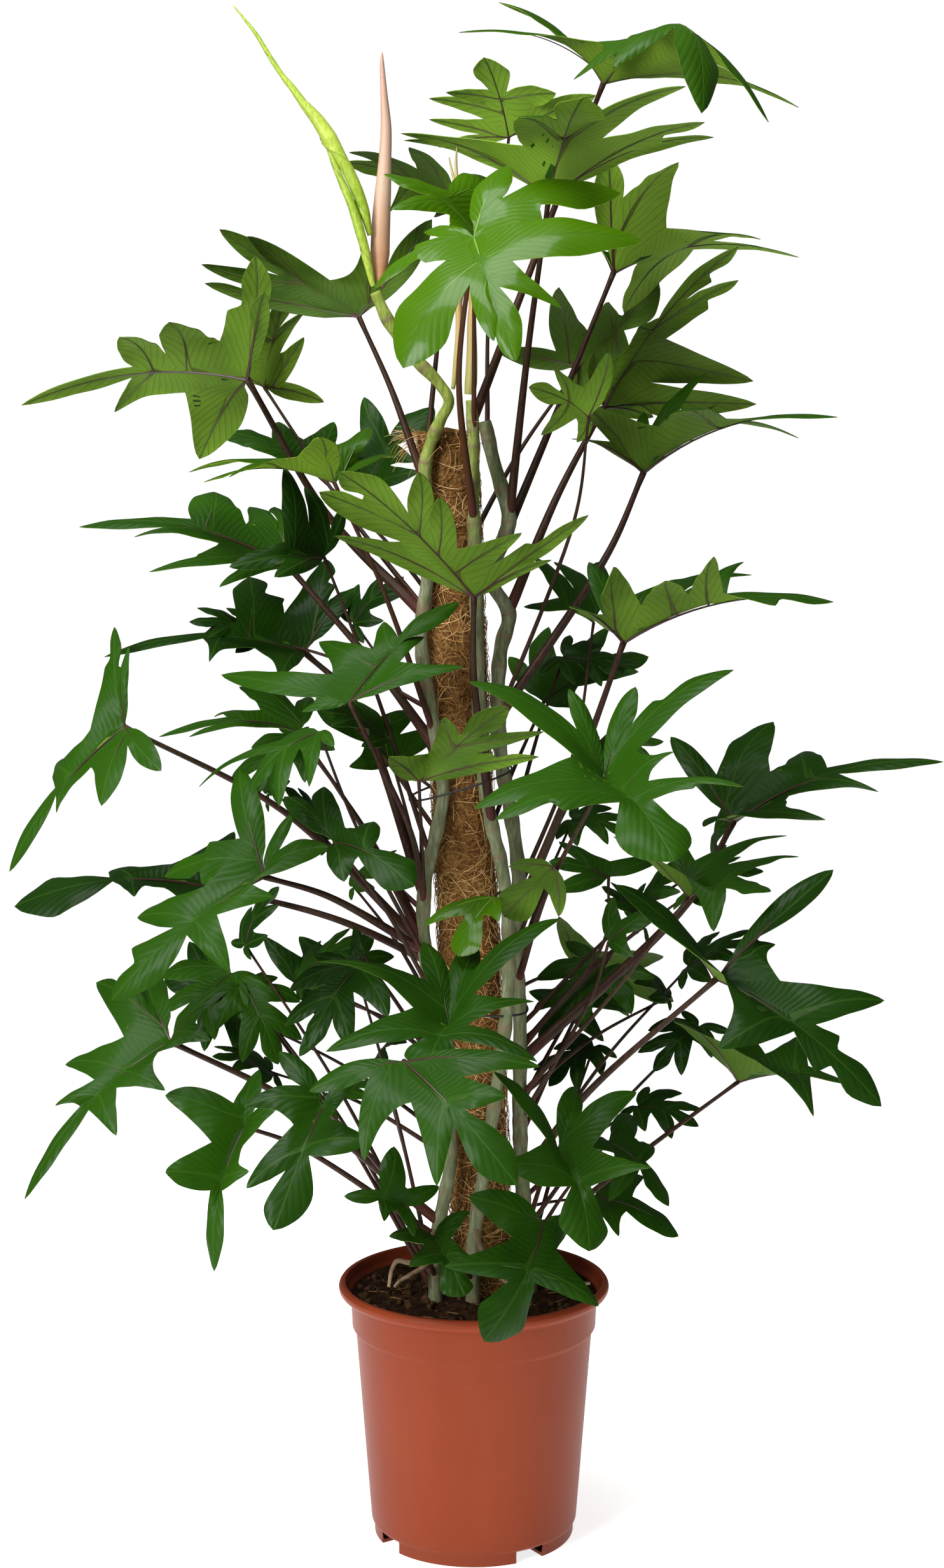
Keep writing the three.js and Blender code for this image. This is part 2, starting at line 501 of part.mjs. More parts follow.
// A lobe is a vein from its foot on a rib to its tip, with a width on both sides.
function sideLobes(leaf, frame, side) {
  const places = leaf[side];
  const hand = side === 'left' ? 1 : -1;
  const hindTip = seen(places.at(-1));
  const hindLift = frame.up.clone().multiplyScalar(BLADE.arch * hindTip.distanceTo(frame.knee));
  const midLift = midribLift(leaf, frame);
  const hindFoot = BLADE.hindStops[1];
  return places.map((place, i) => {
    const tip = seen(place);
    const last = i === places.length - 1;
    const onHind = places.length >= 3 && i === places.length - 2;
    const stop = last ? hindFoot : (onHind ? BLADE.hindStops[0] : BLADE.midribStops[i]);
    const foot = last || onHind
      ? slide(frame.knee, hindTip, hindLift, stop).point
      : slide(frame.knee, frame.tip, midLift, stop).point;
    const vein = tip.clone().sub(foot);
    const outward = new THREE.Vector3().crossVectors(frame.up, vein).normalize().multiplyScalar(hand);
    const lift = frame.up.clone().multiplyScalar(BLADE.arch * vein.length())
      .addScaledVector(outward, BLADE.bow * vein.length());
    const at = last
      ? (s) => slide(frame.knee, hindTip, hindLift, hindFoot + (1 - hindFoot) * s)
      : (s) => slide(foot, tip, lift, s);
    const rib = last || onHind ? side : 'midrib';
    return { at, foot, stop, rib, half: (place[3] ?? BLADE.sideWidth) * vein.length() };
  });
}

function leafLobes(leaf) {
  const frame = leafFrame(leaf);
  const lift = midribLift(leaf, frame);
  const start = BLADE.midribStops[0];
  const end = {
    at: (s) => slide(frame.knee, frame.tip, lift, start + (1 - start) * s),
    foot: slide(frame.knee, frame.tip, lift, start).point,
    stop: start,
    rib: 'midrib',
    half: (leaf.tip[3] ?? BLADE.tipWidth) * frame.length,
  };
  const right = sideLobes(leaf, frame, 'right').reverse();
  return { frame, lobes: [...right, end, ...sideLobes(leaf, frame, 'left')] };
}

// Half the width of a lobe that no neighbour crowds, at a share of its length.
function fullWidth(lobe, share) {
  return lobe.half * Math.max(Math.sin(Math.PI * share ** BLADE.crest), 0) ** BLADE.round;
}

// The share of their lengths at which the outlines of two lobes part.
function parting(here, there) {
  return BLADE.partings.find((share) => {
    const gap = here.at(share).point.distanceTo(there.at(share).point);
    return gap < BLADE.touching * (fullWidth(here, share) + fullWidth(there, share));
  }) ?? BLADE.partings.at(-1);
}

// Half the width of a lobe at a share of its length, no wider than its neighbour leaves room for.
function lobeWidth(lobe, neighbour, share) {
  const wide = fullWidth(lobe, share);
  if (!neighbour) return wide;
  const room = lobe.at(share).point.distanceTo(neighbour.at(share).point);
  return Math.min(wide, BLADE.crowding * room);
}

// A place on a lobe's edge: it leaves the web between two lobes and runs to the lobe's tip.
function lobeEdge(lobe, neighbour, corner, hand, share, up) {
  const web = neighbour ? parting(lobe, neighbour) : 0;
  const place = (s) => {
    const { point, along } = lobe.at(s);
    const normal = up.clone().addScaledVector(along, -up.dot(along)).normalize();
    const side = new THREE.Vector3().crossVectors(normal, along).multiplyScalar(hand);
    const width = lobeWidth(lobe, neighbour, s);
    return point.addScaledVector(side, width).addScaledVector(normal, -BLADE.fold * width);
  };
  const drift = corner.clone().sub(place(web));
  return place(web + (1 - web) * share).addScaledVector(drift, (1 - share) ** 3);
}

// The corner of the narrow hem behind a hind rib.
function hemCorner(lobe, frame, hand) {
  const side = new THREE.Vector3().crossVectors(frame.up, lobe.at(0).along).normalize();
  return lobe.foot.clone().lerp(frame.knee, 0.5).addScaledVector(side, hand * BLADE.hem);
}

// The corners along the ribs from one lobe's foot to the next, by way of the knee where the ribs part.
function ribWay(ribs, from, to) {
  const upTo = ({ rib, stop }) => ribs[rib].filter((corner) => corner.stop <= stop);
  if (from.rib !== to.rib) return [...upTo(from).reverse(), ribs.knee[0], ...upTo(to)];
  const low = Math.min(from.stop, to.stop);
  const between = ribs[from.rib].filter(({ stop }) => stop >= low && stop <= Math.max(from.stop, to.stop));
  return from.stop > to.stop ? between.reverse() : between;
}

// The middle sheet of a blade as points and triangles, seen from above. The knee is its first point.
function leafSheet(leaf) {
  const { frame, lobes } = leafLobes(leaf);
  const points = [frame.knee];
  const triangles = [];
  const add = (point) => points.push(point) - 1;
  const fan = (corner, way) => way.slice(1).forEach((next, i) => {
    triangles.push([corner, way[i].index, next.index]);
  });
  const ribs = { knee: [{ stop: 0, index: 0 }], midrib: [], left: [], right: [] };
  for (const { rib, stop, foot } of lobes) {
    if (!ribs[rib].some((corner) => corner.stop === stop)) ribs[rib].push({ stop, index: add(foot) });
    ribs[rib].sort((a, b) => a.stop - b.stop);
  }
  const corners = [add(hemCorner(lobes[0], frame, -1))];
  fan(corners[0], [...ribs.right].reverse().concat(ribs.knee));
  for (let i = 0; i + 1 < lobes.length; i += 1) {
    const web = parting(lobes[i], lobes[i + 1]);
    const sinus = lobes[i].at(web).point.lerp(lobes[i + 1].at(web).point, 0.5);
    corners.push(add(sinus));
    fan(corners[i + 1], ribWay(ribs, lobes[i + 1], lobes[i]));
  }
  corners.push(add(hemCorner(lobes.at(-1), frame, 1)));
  fan(corners.at(-1), [...ribs.knee, ...ribs.left]);
  lobes.forEach((lobe, i) => {
    const foot = ribs[lobe.rib].find(({ stop }) => stop === lobe.stop).index;
    const webs = [lobes[i - 1], lobes[i + 1]].map((beside) => (beside ? parting(lobe, beside) : 0));
    const meanWeb = (webs[0] + webs[1]) / 2;
    let row = [corners[i], foot, corners[i + 1]];
    for (const s of lobe.half > BLADE.wide ? BLADE.wideRows : BLADE.rows) {
      const right = lobeEdge(lobe, lobes[i - 1], points[corners[i]], -1, s, frame.up);
      const left = lobeEdge(lobe, lobes[i + 1], points[corners[i + 1]], 1, s, frame.up);
      const middle = lobe.at(THREE.MathUtils.lerp(meanWeb, 1, s)).point;
      const next = [add(right), add(middle), add(left)];
      triangles.push([row[1], row[0], next[0]], [row[1], next[0], next[1]]);
      triangles.push([row[2], row[1], next[1]], [row[2], next[1], next[2]]);
      row = next;
    }
    const tip = add(lobe.at(1).point);
    triangles.push([row[1], row[0], tip], [row[2], row[1], tip]);
  });
  return { points, triangles, frame };
}

function pointNormals(points, triangles) {
  const normals = points.map(() => new THREE.Vector3());
  for (const [a, b, c] of triangles) {
    const face = new THREE.Vector3().crossVectors(
      points[b].clone().sub(points[a]), points[c].clone().sub(points[a]));
    for (const i of [a, b, c]) normals[i].add(face);
  }
  return normals.map((normal) => normal.normalize());
}

// Both faces of a sheet and the wall round its edge.
function thicken({ points, triangles }, thickness) {
  const normals = pointNormals(points, triangles);
  const upper = points.map((p, i) => p.clone().addScaledVector(normals[i], thickness / 2));
  const lower = points.map((p, i) => p.clone().addScaledVector(normals[i], -thickness / 2));
  const count = points.length;
  const faces = [...triangles, ...triangles.map(([a, b, c]) => [count + c, count + b, count + a])];
  const edges = new Set(triangles.flatMap(([a, b, c]) => [`${a} ${b}`, `${b} ${c}`, `${c} ${a}`]));
  for (const edge of edges) {
    const [a, b] = edge.split(' ').map(Number);
    if (!edges.has(`${b} ${a}`)) faces.push([count + a, count + b, b], [count + a, b, a]);
  }
  return bodyOf([...upper, ...lower], faces);
}

function blade(leaf) {
  return thicken(leafSheet(leaf), BLADE.thickness);
}

// The stalk of a leaf runs from the middle of its vine to the blade's knee. Unless the two are one body,
// its end is drawn back from the knee, down, short or up, by the least step that clears the blade.
function stalk(vine, leaf, whole) {
  const sheet = leafSheet(leaf);
  const { knee, up, length } = sheet.frame;
  const start = vinePoint(vine, leaf.node);
  const thick = Math.max(STALK.share * length, STALK.least);
  const via = leaf.via ? seen(leaf.via) : start.clone().lerp(knee, 0.5)
    .add(new THREE.Vector3(0, 0, STALK.rise * start.distanceTo(knee)));
  const collar = start.clone().addScaledVector(via.clone().sub(start).normalize(), STALK.collar);
  const radii = [STALK.swell, STALK.swell, STALK.neck, STALK.end].map((share) => share * thick);
  const reach = (step) => smoothTube([start, collar, via, knee.clone().add(step)], radii,
    STALK.steps, STALK.sides);
  if (whole) return reach(new THREE.Vector3());
  const back = knee.clone().sub(via).normalize().negate();
  const grown = toManifold(thicken(sheet, BLADE.thickness + 2 * GAP));
  for (let step = GAP; step < DRAW_BACK; step += GAP) {
    const ways = [up.clone().negate(), back, up].map((way) => reach(way.clone().multiplyScalar(step)));
    const clear = ways.find((body) => body.intersect(grown).isEmpty());
    if (clear) return clear;
  }
  throw new Error(`No room for the stalk at the knee ${leaf.knee}`);
}

function vineBody(name) {
  const line = vineLine(name);
  const stem = tube(line, line.map((point) => vineRadius(name, point.z)), VINE.sides);
  const { radii, steps, sides } = ROOT;
  const roots = VINES[name].roots.map((root) => smoothTube(root.map(seen), radii, steps, sides));
  const whole = name === 'back';
  const stalks = LEAVES[name].map((leaf) => stalk(name, leaf, whole));
  const blades = whole ? LEAVES[name].map((leaf) => toManifold(blade(leaf))) : [];
  return joined([stem, ...roots, ...stalks, ...blades]);
}

// The pot.

function potBody() {
  let pot = toManifold(turned([[0, 0], ...POT.outside, ...POT.inside, [0, POT.inside.at(-1)[1]]], POT.sides));
  for (const { cover, hollow } of potChannels(0)) pot = pot.add(cover).subtract(hollow);
  return pot;
}

// Channels under the floor part the feet. Their covers stand up inside the pot.
function potChannels(spare) {
  const { count, turn, width, height, start, reach, skin } = POT.channel;
  const side = skin + spare;
  const wall = POT.inside.at(-2)[0];
  const top = height + side;
  return Array.from({ length: count }, (_, i) => {
    const angle = THREE.MathUtils.degToRad(turn - 90 + 360 * i / count);
    const bar = (from, to, across, low, high) => toManifold(
      new THREE.BoxGeometry(to - from, across, high - low)
        .translate((from + to) / 2, 0, (low + high) / 2).rotateZ(angle));
    return {
      cover: bar(start - side, spare ? reach : wall, width + 2 * side, 0, top),
      hollow: bar(start, reach, width, -1, height),
    };
  });
}

function soilBody(stems) {
  const { height, crown, heap, sides } = SOIL;
  const facet = Math.cos(Math.PI / POT.sides);
  const wall = POT.inside.slice(2).reverse().map(([radius, z]) => [radius * facet - GAP * 1.5, z]);
  const low = POT.inside.at(-1)[1] + GAP;
  const [throat, shoulder] = wall.slice(-1).concat([POT.inside[1]]);
  const edge = THREE.MathUtils.mapLinear(height, throat[1], shoulder[1], throat[0], shoulder[0] - 2);
  wall[0][1] = low;
  const top = heap.map(([share, rise]) => [edge * share, height + crown * rise]);
  let soil = toManifold(turned([[0, low], ...wall, ...top], sides));
  for (const { cover } of potChannels(GAP)) soil = soil.subtract(cover);
  for (const hole of stems) soil = soil.subtract(hole);
  return soil;
}

// Plain holes in the soil for what stands in it.
function soilHoles() {
  const holes = Object.keys(VINES).map((name) => {
    const line = vineLine(name);
    const above = line.findIndex((point) => point.z > SOIL.height + 4 * SOIL.crown);
    const buried = line.slice(0, above + 2);
    const along = buried[1].clone().sub(buried[0]).normalize();
    buried[0].addScaledVector(along, -GAP);
    return tube(buried, buried.map(() => VINES[name].radius + GAP * 1.5), VINE.sides);
  });
  const column = (foot, radius, sides) => tube([poleAxis(foot), poleAxis(POT.inside[0][1])],
    [radius, radius], sides);
  const sleeve = (POLE.sleeveRadius + POLE.lump + GAP) / Math.cos(Math.PI / POLE.sides);
  return [...holes, column(POLE.foot.z - GAP, POLE.stakeRadius + GAP * 2, POLE.stakeSides),
    column(POLE.sleeveFoot - GAP, sleeve, POLE.sides)];
}

function stakeBody() {
  const top = poleAxis(POLE.top.z - POLE.stakeShort);
  return tube([poleAxis(POLE.foot.z), top], [POLE.stakeRadius, POLE.stakeRadius], POLE.stakeSides);
}

// Matted fibre round the stake, a little lumpy, and closed over its top.
function coirBody() {
  const rings = [];
  for (let i = 0; i <= POLE.rings; i += 1) {
    rings.push(poleAxis(THREE.MathUtils.lerp(POLE.sleeveFoot, POLE.top.z - POLE.dome, i / POLE.rings)));
  }
  const corners = [];
  const faces = [];
  const lean = POLE.top.clone().sub(POLE.foot).normalize();
  const across = new THREE.Vector3(1, 0, 0).addScaledVector(lean, -lean.x).normalize();
  const side = new THREE.Vector3().crossVectors(lean, across);
  rings.forEach((centre, i) => {
    for (let k = 0; k < POLE.sides; k += 1) {
      const angle = 2 * Math.PI * k / POLE.sides;
      const radius = POLE.sleeveRadius + POLE.lump * (2 * chance(i, k) - 1);
      corners.push(centre.clone().addScaledVector(across, radius * Math.cos(angle))
        .addScaledVector(side, radius * Math.sin(angle)));
    }
  });
  const foot = corners.push(rings[0].clone()) - 1;
  const crown = corners.push(rings.at(-1).clone().addScaledVector(lean, POLE.dome)) - 1;
  const last = POLE.rings * POLE.sides;
  for (let k = 0; k < POLE.sides; k += 1) {
    const turn = (k + 1) % POLE.sides;
    for (let i = 0; i < POLE.rings; i += 1) {
      const here = i * POLE.sides;
      const next = here + POLE.sides;
      faces.push([here + k, here + turn, next + turn], [here + k, next + turn, next + k]);
    }
    faces.push([foot, turn, k], [crown, last + k, last + turn]);
  }
  const bore = tube([poleAxis(POLE.sleeveFoot - 5), poleAxis(POLE.top.z - POLE.stakeShort + GAP)],
    [POLE.stakeRadius + GAP * 2, POLE.stakeRadius + GAP * 2], POLE.stakeSides);
  return toManifold(bodyOf(corners, faces)).subtract(bore);
}

// A wire loop drawn tight round the pole, its vines and the stalks that start there.
function tieBody({ height, slope }, vines) {
  const reach = WIRE.radius + GAP * 2;
  const axis = poleAxis(height);
  const ringed = [[axis.x, axis.y, POLE.sleeveRadius + POLE.lump]];
  const slab = toManifold(new THREE.BoxGeometry(2 * WIRE.reach, 2 * WIRE.reach, 3 * WIRE.radius)
    .rotateY(-Math.atan(slope)).translate(axis.x, axis.y, height + slope * axis.x));
  for (const body of Object.values(vines)) {
    const corners = body.intersect(slab).getMesh().vertProperties;
    for (let i = 0; i < corners.length; i += 3) ringed.push([corners[i], corners[i + 1], 0]);
  }
  const spots = ringed.flatMap(([x, y, radius]) => Array.from({ length: WIRE.cornerSides }, (_, k) => {
    const angle = 2 * Math.PI * k / WIRE.cornerSides;
    const far = (radius + reach) / Math.cos(Math.PI / WIRE.cornerSides);
    return [x + far * Math.cos(angle), y + far * Math.sin(angle)];
  }));
  spots.sort((a, b) => a[0] - b[0] || a[1] - b[1]);
  const turns = (o, a, b) => (a[0] - o[0]) * (b[1] - o[1]) - (a[1] - o[1]) * (b[0] - o[0]);
  const chain = (list) => {
    const hull = [];
    for (const spot of list) {
      while (hull.length > 1 && turns(hull.at(-2), hull.at(-1), spot) <= 1e-6) hull.pop();
      hull.push(spot);
    }
    return hull.slice(0, -1);
  };
  const loop = [...chain(spots), ...chain(spots.slice().reverse())];
  const points = loop.map(([x, y]) => new THREE.Vector3(x, y, height + slope * x));
  return tube(points, points.map(() => WIRE.radius), WIRE.sides, true);
}

// A shoot is lowered onto the stems that carry it, down to the gap.
function shootBody({ strands }, carriers) {
  const tubes = strands.map((strand) => {
    return tube(strand.map(seen), strand.map(([, , , radius]) => radius), VINE.sides);
  });
  const body = joined(tubes);
  const clear = (fall) => {
    const lowered = body.translate([0, 0, -fall]);
    return carriers.every((carrier) => lowered.intersect(carrier).isEmpty());
  };
  let fall = 0;
  while (fall < SHOOT_FALL && clear(fall + GAP)) fall += GAP;
  return body.translate([0, 0, GAP - fall]);
}

// The scene graph.

const plant = new THREE.Group();
plant.name = 'potted_philodendron';

function place(name, shape, color, roughness, metalness = 0) {
  const geometry = shape.isBufferGeometry ? shape : toGeometry(shape);
  const mesh = new THREE.Mesh(geometry, new THREE.MeshStandardMaterial({ color, roughness, metalness }));
  mesh.name = name;
  plant.add(mesh);
}

place('pot', potBody(), 0xa5563a, 0.45);
place('soil', soilBody(soilHoles()), 0x3a2a20, 0.95);
place('pole_stake', stakeBody(), 0x9c7a52, 0.8);
place('pole_coir', coirBody(), 0xa9713c, 0.95);
const vines = Object.fromEntries(Object.keys(VINES).map((name) => [name, vineBody(name)]));
for (const [name, body] of Object.entries(vines)) place(`vine_${name}`, body, VINES[name].colour, 0.6);
for (const [name, tie] of Object.entries(TIES)) place(name, tieBody(tie, vines), 0x161616, 0.5);
const carriers = Object.values(vines);
for (const [name, shoot] of Object.entries(SHOOTS)) {
  const body = shootBody(shoot, carriers);
  carriers.push(body);
  place(name, body, shoot.colour, 0.5);
}
let count = 0;
for (const name of ['left', 'centre', 'right']) {
  for (const leaf of LEAVES[name]) {
    count += 1;
    place(`leaf_${String(count).padStart(2, '0')}`, blade(leaf), 0x2f7a24, 0.4);
  }
}

export default plant;
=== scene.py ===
"""A climbing philodendron with deeply cut leaves, on a coir pole in a terracotta-coloured nursery pot.

Lengths are millimetres until a piece is made. Blender then gets metres, in the frame of the solids.
"""
import math
import random

import bpy
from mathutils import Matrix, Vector, noise


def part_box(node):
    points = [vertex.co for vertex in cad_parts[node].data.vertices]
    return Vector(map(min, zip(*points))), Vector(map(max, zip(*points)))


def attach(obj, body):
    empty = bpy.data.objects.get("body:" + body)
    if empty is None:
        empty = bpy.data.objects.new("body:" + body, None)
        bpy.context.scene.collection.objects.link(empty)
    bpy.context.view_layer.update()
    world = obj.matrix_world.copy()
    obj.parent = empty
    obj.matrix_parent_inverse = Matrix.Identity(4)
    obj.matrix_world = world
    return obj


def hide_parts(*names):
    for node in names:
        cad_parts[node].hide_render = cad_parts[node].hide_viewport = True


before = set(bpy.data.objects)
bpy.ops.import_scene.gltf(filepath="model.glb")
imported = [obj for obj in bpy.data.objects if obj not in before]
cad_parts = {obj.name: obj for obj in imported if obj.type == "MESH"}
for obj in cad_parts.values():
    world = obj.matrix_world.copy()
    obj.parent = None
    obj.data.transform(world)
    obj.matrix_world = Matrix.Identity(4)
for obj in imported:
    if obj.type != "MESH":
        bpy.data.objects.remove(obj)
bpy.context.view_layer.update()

# The noise that bends the roots would otherwise differ from run to run.
noise.seed_set(1)

MM = 0.001

# Where the photograph was taken from. Its size, the pot's axis, the horizon and the focal length, all in
# pixels of the picture, fix the lens.
EYE = {"distance": 2600, "height": 1053}
PHOTO = {"width": 1484, "height": 2464, "axis": 745, "horizon": 745, "focal": 4082}

# The pot's outlines are half widths and heights, up its outside and then down its inside.
POT = {
    "outside": [[99, 0], [99, 11], [102, 14], [118, 202], [121.5, 204], [123, 233], [133, 237.5],
                [135, 240.5], [135, 244.5], [132.5, 248]],
    "inside": [[128.5, 248], [126, 239], [120.5, 229], [119.5, 202], [116, 198], [100, 16], [97, 3]],
    "channel": {"count": 4, "turn": 33.5, "width": 31, "height": 12, "start": 48, "reach": 110,
                "below": 5},
    "round": 1.2, "arc_steps": 4, "sides": 160, "sharp": 50,
}
SOIL = {"height": 235, "floor": 16, "edge": 122, "slack": 0.8, "crown": 3, "crown_from": 0.4,
        "swell": 5, "swell_size": 26, "crumb": 1.2, "crumb_size": 6, "crumb_layer": 40,
        "level_from": 0.9, "rings": 46, "sides": 120}
# Every fifth bit on the soil is a sliver of bark. The others are crumbs.
BITS = {
    "count": 420, "sliver_every": 5, "spread": 0.94, "tilt": 0.15, "lift": 0.3,
    "crumb": {"size": (1.2, 4.2), "shade": (0, 0.5)},
    "sliver": {"size": (0.5, 0.9), "stretch": (6, 16), "shade": (0.4, 1)},
    "blunt": 0.06, "uneven": (0.75, 1.2), "steps": 5, "sides": 7,
}
POLE = {
    "foot": Vector((20, 0, 20)), "top": Vector((-28, 0, 1100)),
    "sleeve": 30, "sleeve_foot": 222, "dome": 6, "sides": 72, "rings": 220,
    "lump": 0.9, "lump_turn": 2.2, "lump_length": 22, "shag": 1.5, "shag_size": 5, "sunk": 0.8,
}
FIBRE = {"count": 3400, "length": (14, 60), "radius": (0.2, 0.42), "bend": 0.3, "lift": (0, 1.2),
         "spring": (0.3, 2.6), "start_above": 8, "inside_ends": 4, "steps": 7, "sides": 3}
TUFT = {"count": 90, "spread": 1.3, "length": (12, 46), "radii": (0.4, 0.2), "lean": (-0.25, 0.9),
        "curl": 0.5, "below_top": 16, "sunk": 1, "out": 0.8, "droop": 0.5, "shade": (0.2, 1), "steps": 8}
WIRE = {"radius": 1.1, "inset": 1, "squareness": 0.8, "steps": 96, "sides": 8}
TIES = {"tie_upper": {"height": 748, "slope": 0.3}, "tie_lower": {"height": 520, "slope": -0.05}}

# The shares of a lobe, a rib or a leaf are as in the solids. Thickness, hem and least room are millimetres.
# Smoothings, bulge and wave are finer form that is added here.
BLADE = {
    "thickness": 0.7, "arch": 0.22, "bow": 0.07, "fold": 0.22, "hem": 4, "sharp": 55,
    "partings": [0.42, 0.38, 0.34, 0.3, 0.26], "touching": 0.7,
    "tip_width": 0.18, "side_width": 0.165, "crest": 0.9, "round": 0.7,
    "crowding": 0.45, "least_room": 0.1,
    "midrib_stops": [0.42, 0.27, 0.15], "hind_stops": [0.13, 0.27],
    "web_rows": 4, "edge_rows": 14, "columns": 5, "cell_columns": 2, "smoothings": 2,
    "bulge": 0.1, "bulge_from": 0.3, "wave": 0.07, "wave_pace": (1.2, 2.4),
    # Leaves whose knee is lower than this height get painted shade on their undersides, which keep only a
    # share of their drawn lightness.
    "painted_shade_below": 900, "painted_shade_lightness": 0.3,
}
# A thumb is a short blunt lobe at the side of a long one, with a notch in front of it.
THUMB = {"chance": 0.22, "least_length": 100, "at": (0.2, 0.5), "depth": (0.45, 0.62), "swell": 0.16,
         "rise": 0.2, "drop": 0.06, "recover": 0.42, "rows": (0, 0.35, 0.7, 1.1)}
RIB = {"share": 0.008, "least": 0.9, "end": 0.25, "side": 0.55, "sunk": 0.35, "stop": 0.97, "taper": 0.7,
       "greening": 0.9, "steps": 14, "sides": 6}
STALK = {"share": 0.0155, "least": 1.5, "swell": 1.7, "neck": 1.15, "end": 0.8, "collar": 18,
         "rise": 0.05, "knuckle": 1.35, "knuckle_length": 12, "base": 45, "youth": 0.6,
         "green": 0.4, "green_swing": 0.5, "green_length": 60, "steps": 36, "sides": 10}
VINE = {"step": 5, "waist": 0.8, "node_swell": 1.2, "node_length": 9, "scar_length": 2.2,
        "rings_from": 240, "ring_gap": 48, "gap_spread": (0.6, 1.3),
        "taper_reach": 30, "fresh_below": 120, "fresh_above": 60, "sides": 16}
ROOT = {"radii": [3, 2.6, 2.2, 1.6], "wriggle": 2, "wriggle_length": 14, "lump": 0.2, "lump_length": 6,
        "steps": 26, "sides": 8}
# A rolled leaf has a ridge where its edge winds round it, and the swellings of its folded lobes.
ROLL = {"ridge": 0.2, "pitch": 70, "swell": 0.03, "swell_length": 14, "swell_turns": 2}
SHOOT = {"steps": 8, "sides": 20}

WORLD = {"light": 0.11, "white": 1.05}
FLOOR = {"radius": 1.5, "near": 0.1, "far": 0.3, "glow": (0.8, 1), "sides": 96}
# Soft boxes: a name, a place and a size in metres, and watts. All face the middle of the plant.
LIGHTS = [
    ("overhead", (-0.5, -0.9, 3.4), (1.8, 1.6), 92),
    ("front_left", (-2.3, -2.7, 2.0), (1.3, 1.7), 122),
    ("front_right", (2.4, -2.8, 1.6), (1.4, 1.8), 5),
]
LIGHTS_AIM = (0, 0, 0.85)

# A place is [across, depth, height], as the eye sees it. What seen() says of it holds for all the tables.
# Each vine has its path from the soil up, and its aerial roots.
VINES = {
    "left": {
        "radius": 7, "fresh": 0.9, "taper": {"from": 1062, "radius": 6.2},
        "path": [[-38, -36, 150], [-37, -37, 285], [-24, -40, 362], [-26, -38, 413], [-36, -30, 508],
                 [-50, -24, 585], [-48, -28, 649], [-35, -35, 706], [-31, -37, 738], [-49, -29, 852],
                 [-53, -26, 891], [-45, -35, 967], [-48, -34, 1018], [-49, -36, 1059], [-43, -38, 1085],
                 [-33, -41, 1108], [-25, -43, 1126], [-36, -45, 1145], [-60, -50, 1170], [-85, -54, 1205],
                 [-99, -55, 1235]],
        "roots": [[[-37, -38, 298], [-58, -78, 266], [-80, -92, 264], [-86, -100, 240]],
                  [[-37, -38, 270], [-66, -60, 250], [-80, -70, 240]]],
    },
    "centre": {
        "radius": 7, "fresh": 0.65, "taper": {"from": 1000, "radius": 6},
        "path": [[0, -45, 150], [0, -44, 285], [11, -42, 362], [19, -40, 413], [32, -34, 508],
                 [35, -32, 585], [30, -34, 649], [17, -39, 706], [8, -41, 763], [4, -42, 859],
                 [2, -41, 954], [0, -40, 1012], [0, -40, 1082], [-3, -42, 1127]],
        "roots": [[[0, -45, 300], [14, -78, 262], [30, -92, 246], [44, -96, 240]]],
    },
    "right": {
        "radius": 7.5, "fresh": 0.1, "taper": {"from": 1090, "radius": 6.5},
        "path": [[57, -8, 150], [54, -8, 285], [48, -6, 349], [46, -2, 413], [46, 0, 508], [42, 2, 585],
                 [45, 4, 649], [36, -2, 719], [28, -12, 763], [24, -18, 827], [27, -10, 878],
                 [35, -6, 913], [18, -16, 945], [22, -8, 967], [35, -4, 1005], [32, -4, 1024],
                 [19, -6, 1069], [11, -8, 1106]],
        "roots": [[[54, -10, 292], [76, -58, 250], [104, -76, 243], [116, -60, 242]]],
    },
    "back": {
        "radius": 7, "fresh": 0.4, "taper": {"from": 960, "radius": 6},
        "path": [[11, 44, 150], [10, 44, 285], [4, 44, 400], [-2, 43, 550], [-8, 42, 700], [-12, 43, 850],
                 [-20, 42, 975]],
        "roots": [],
    },
}

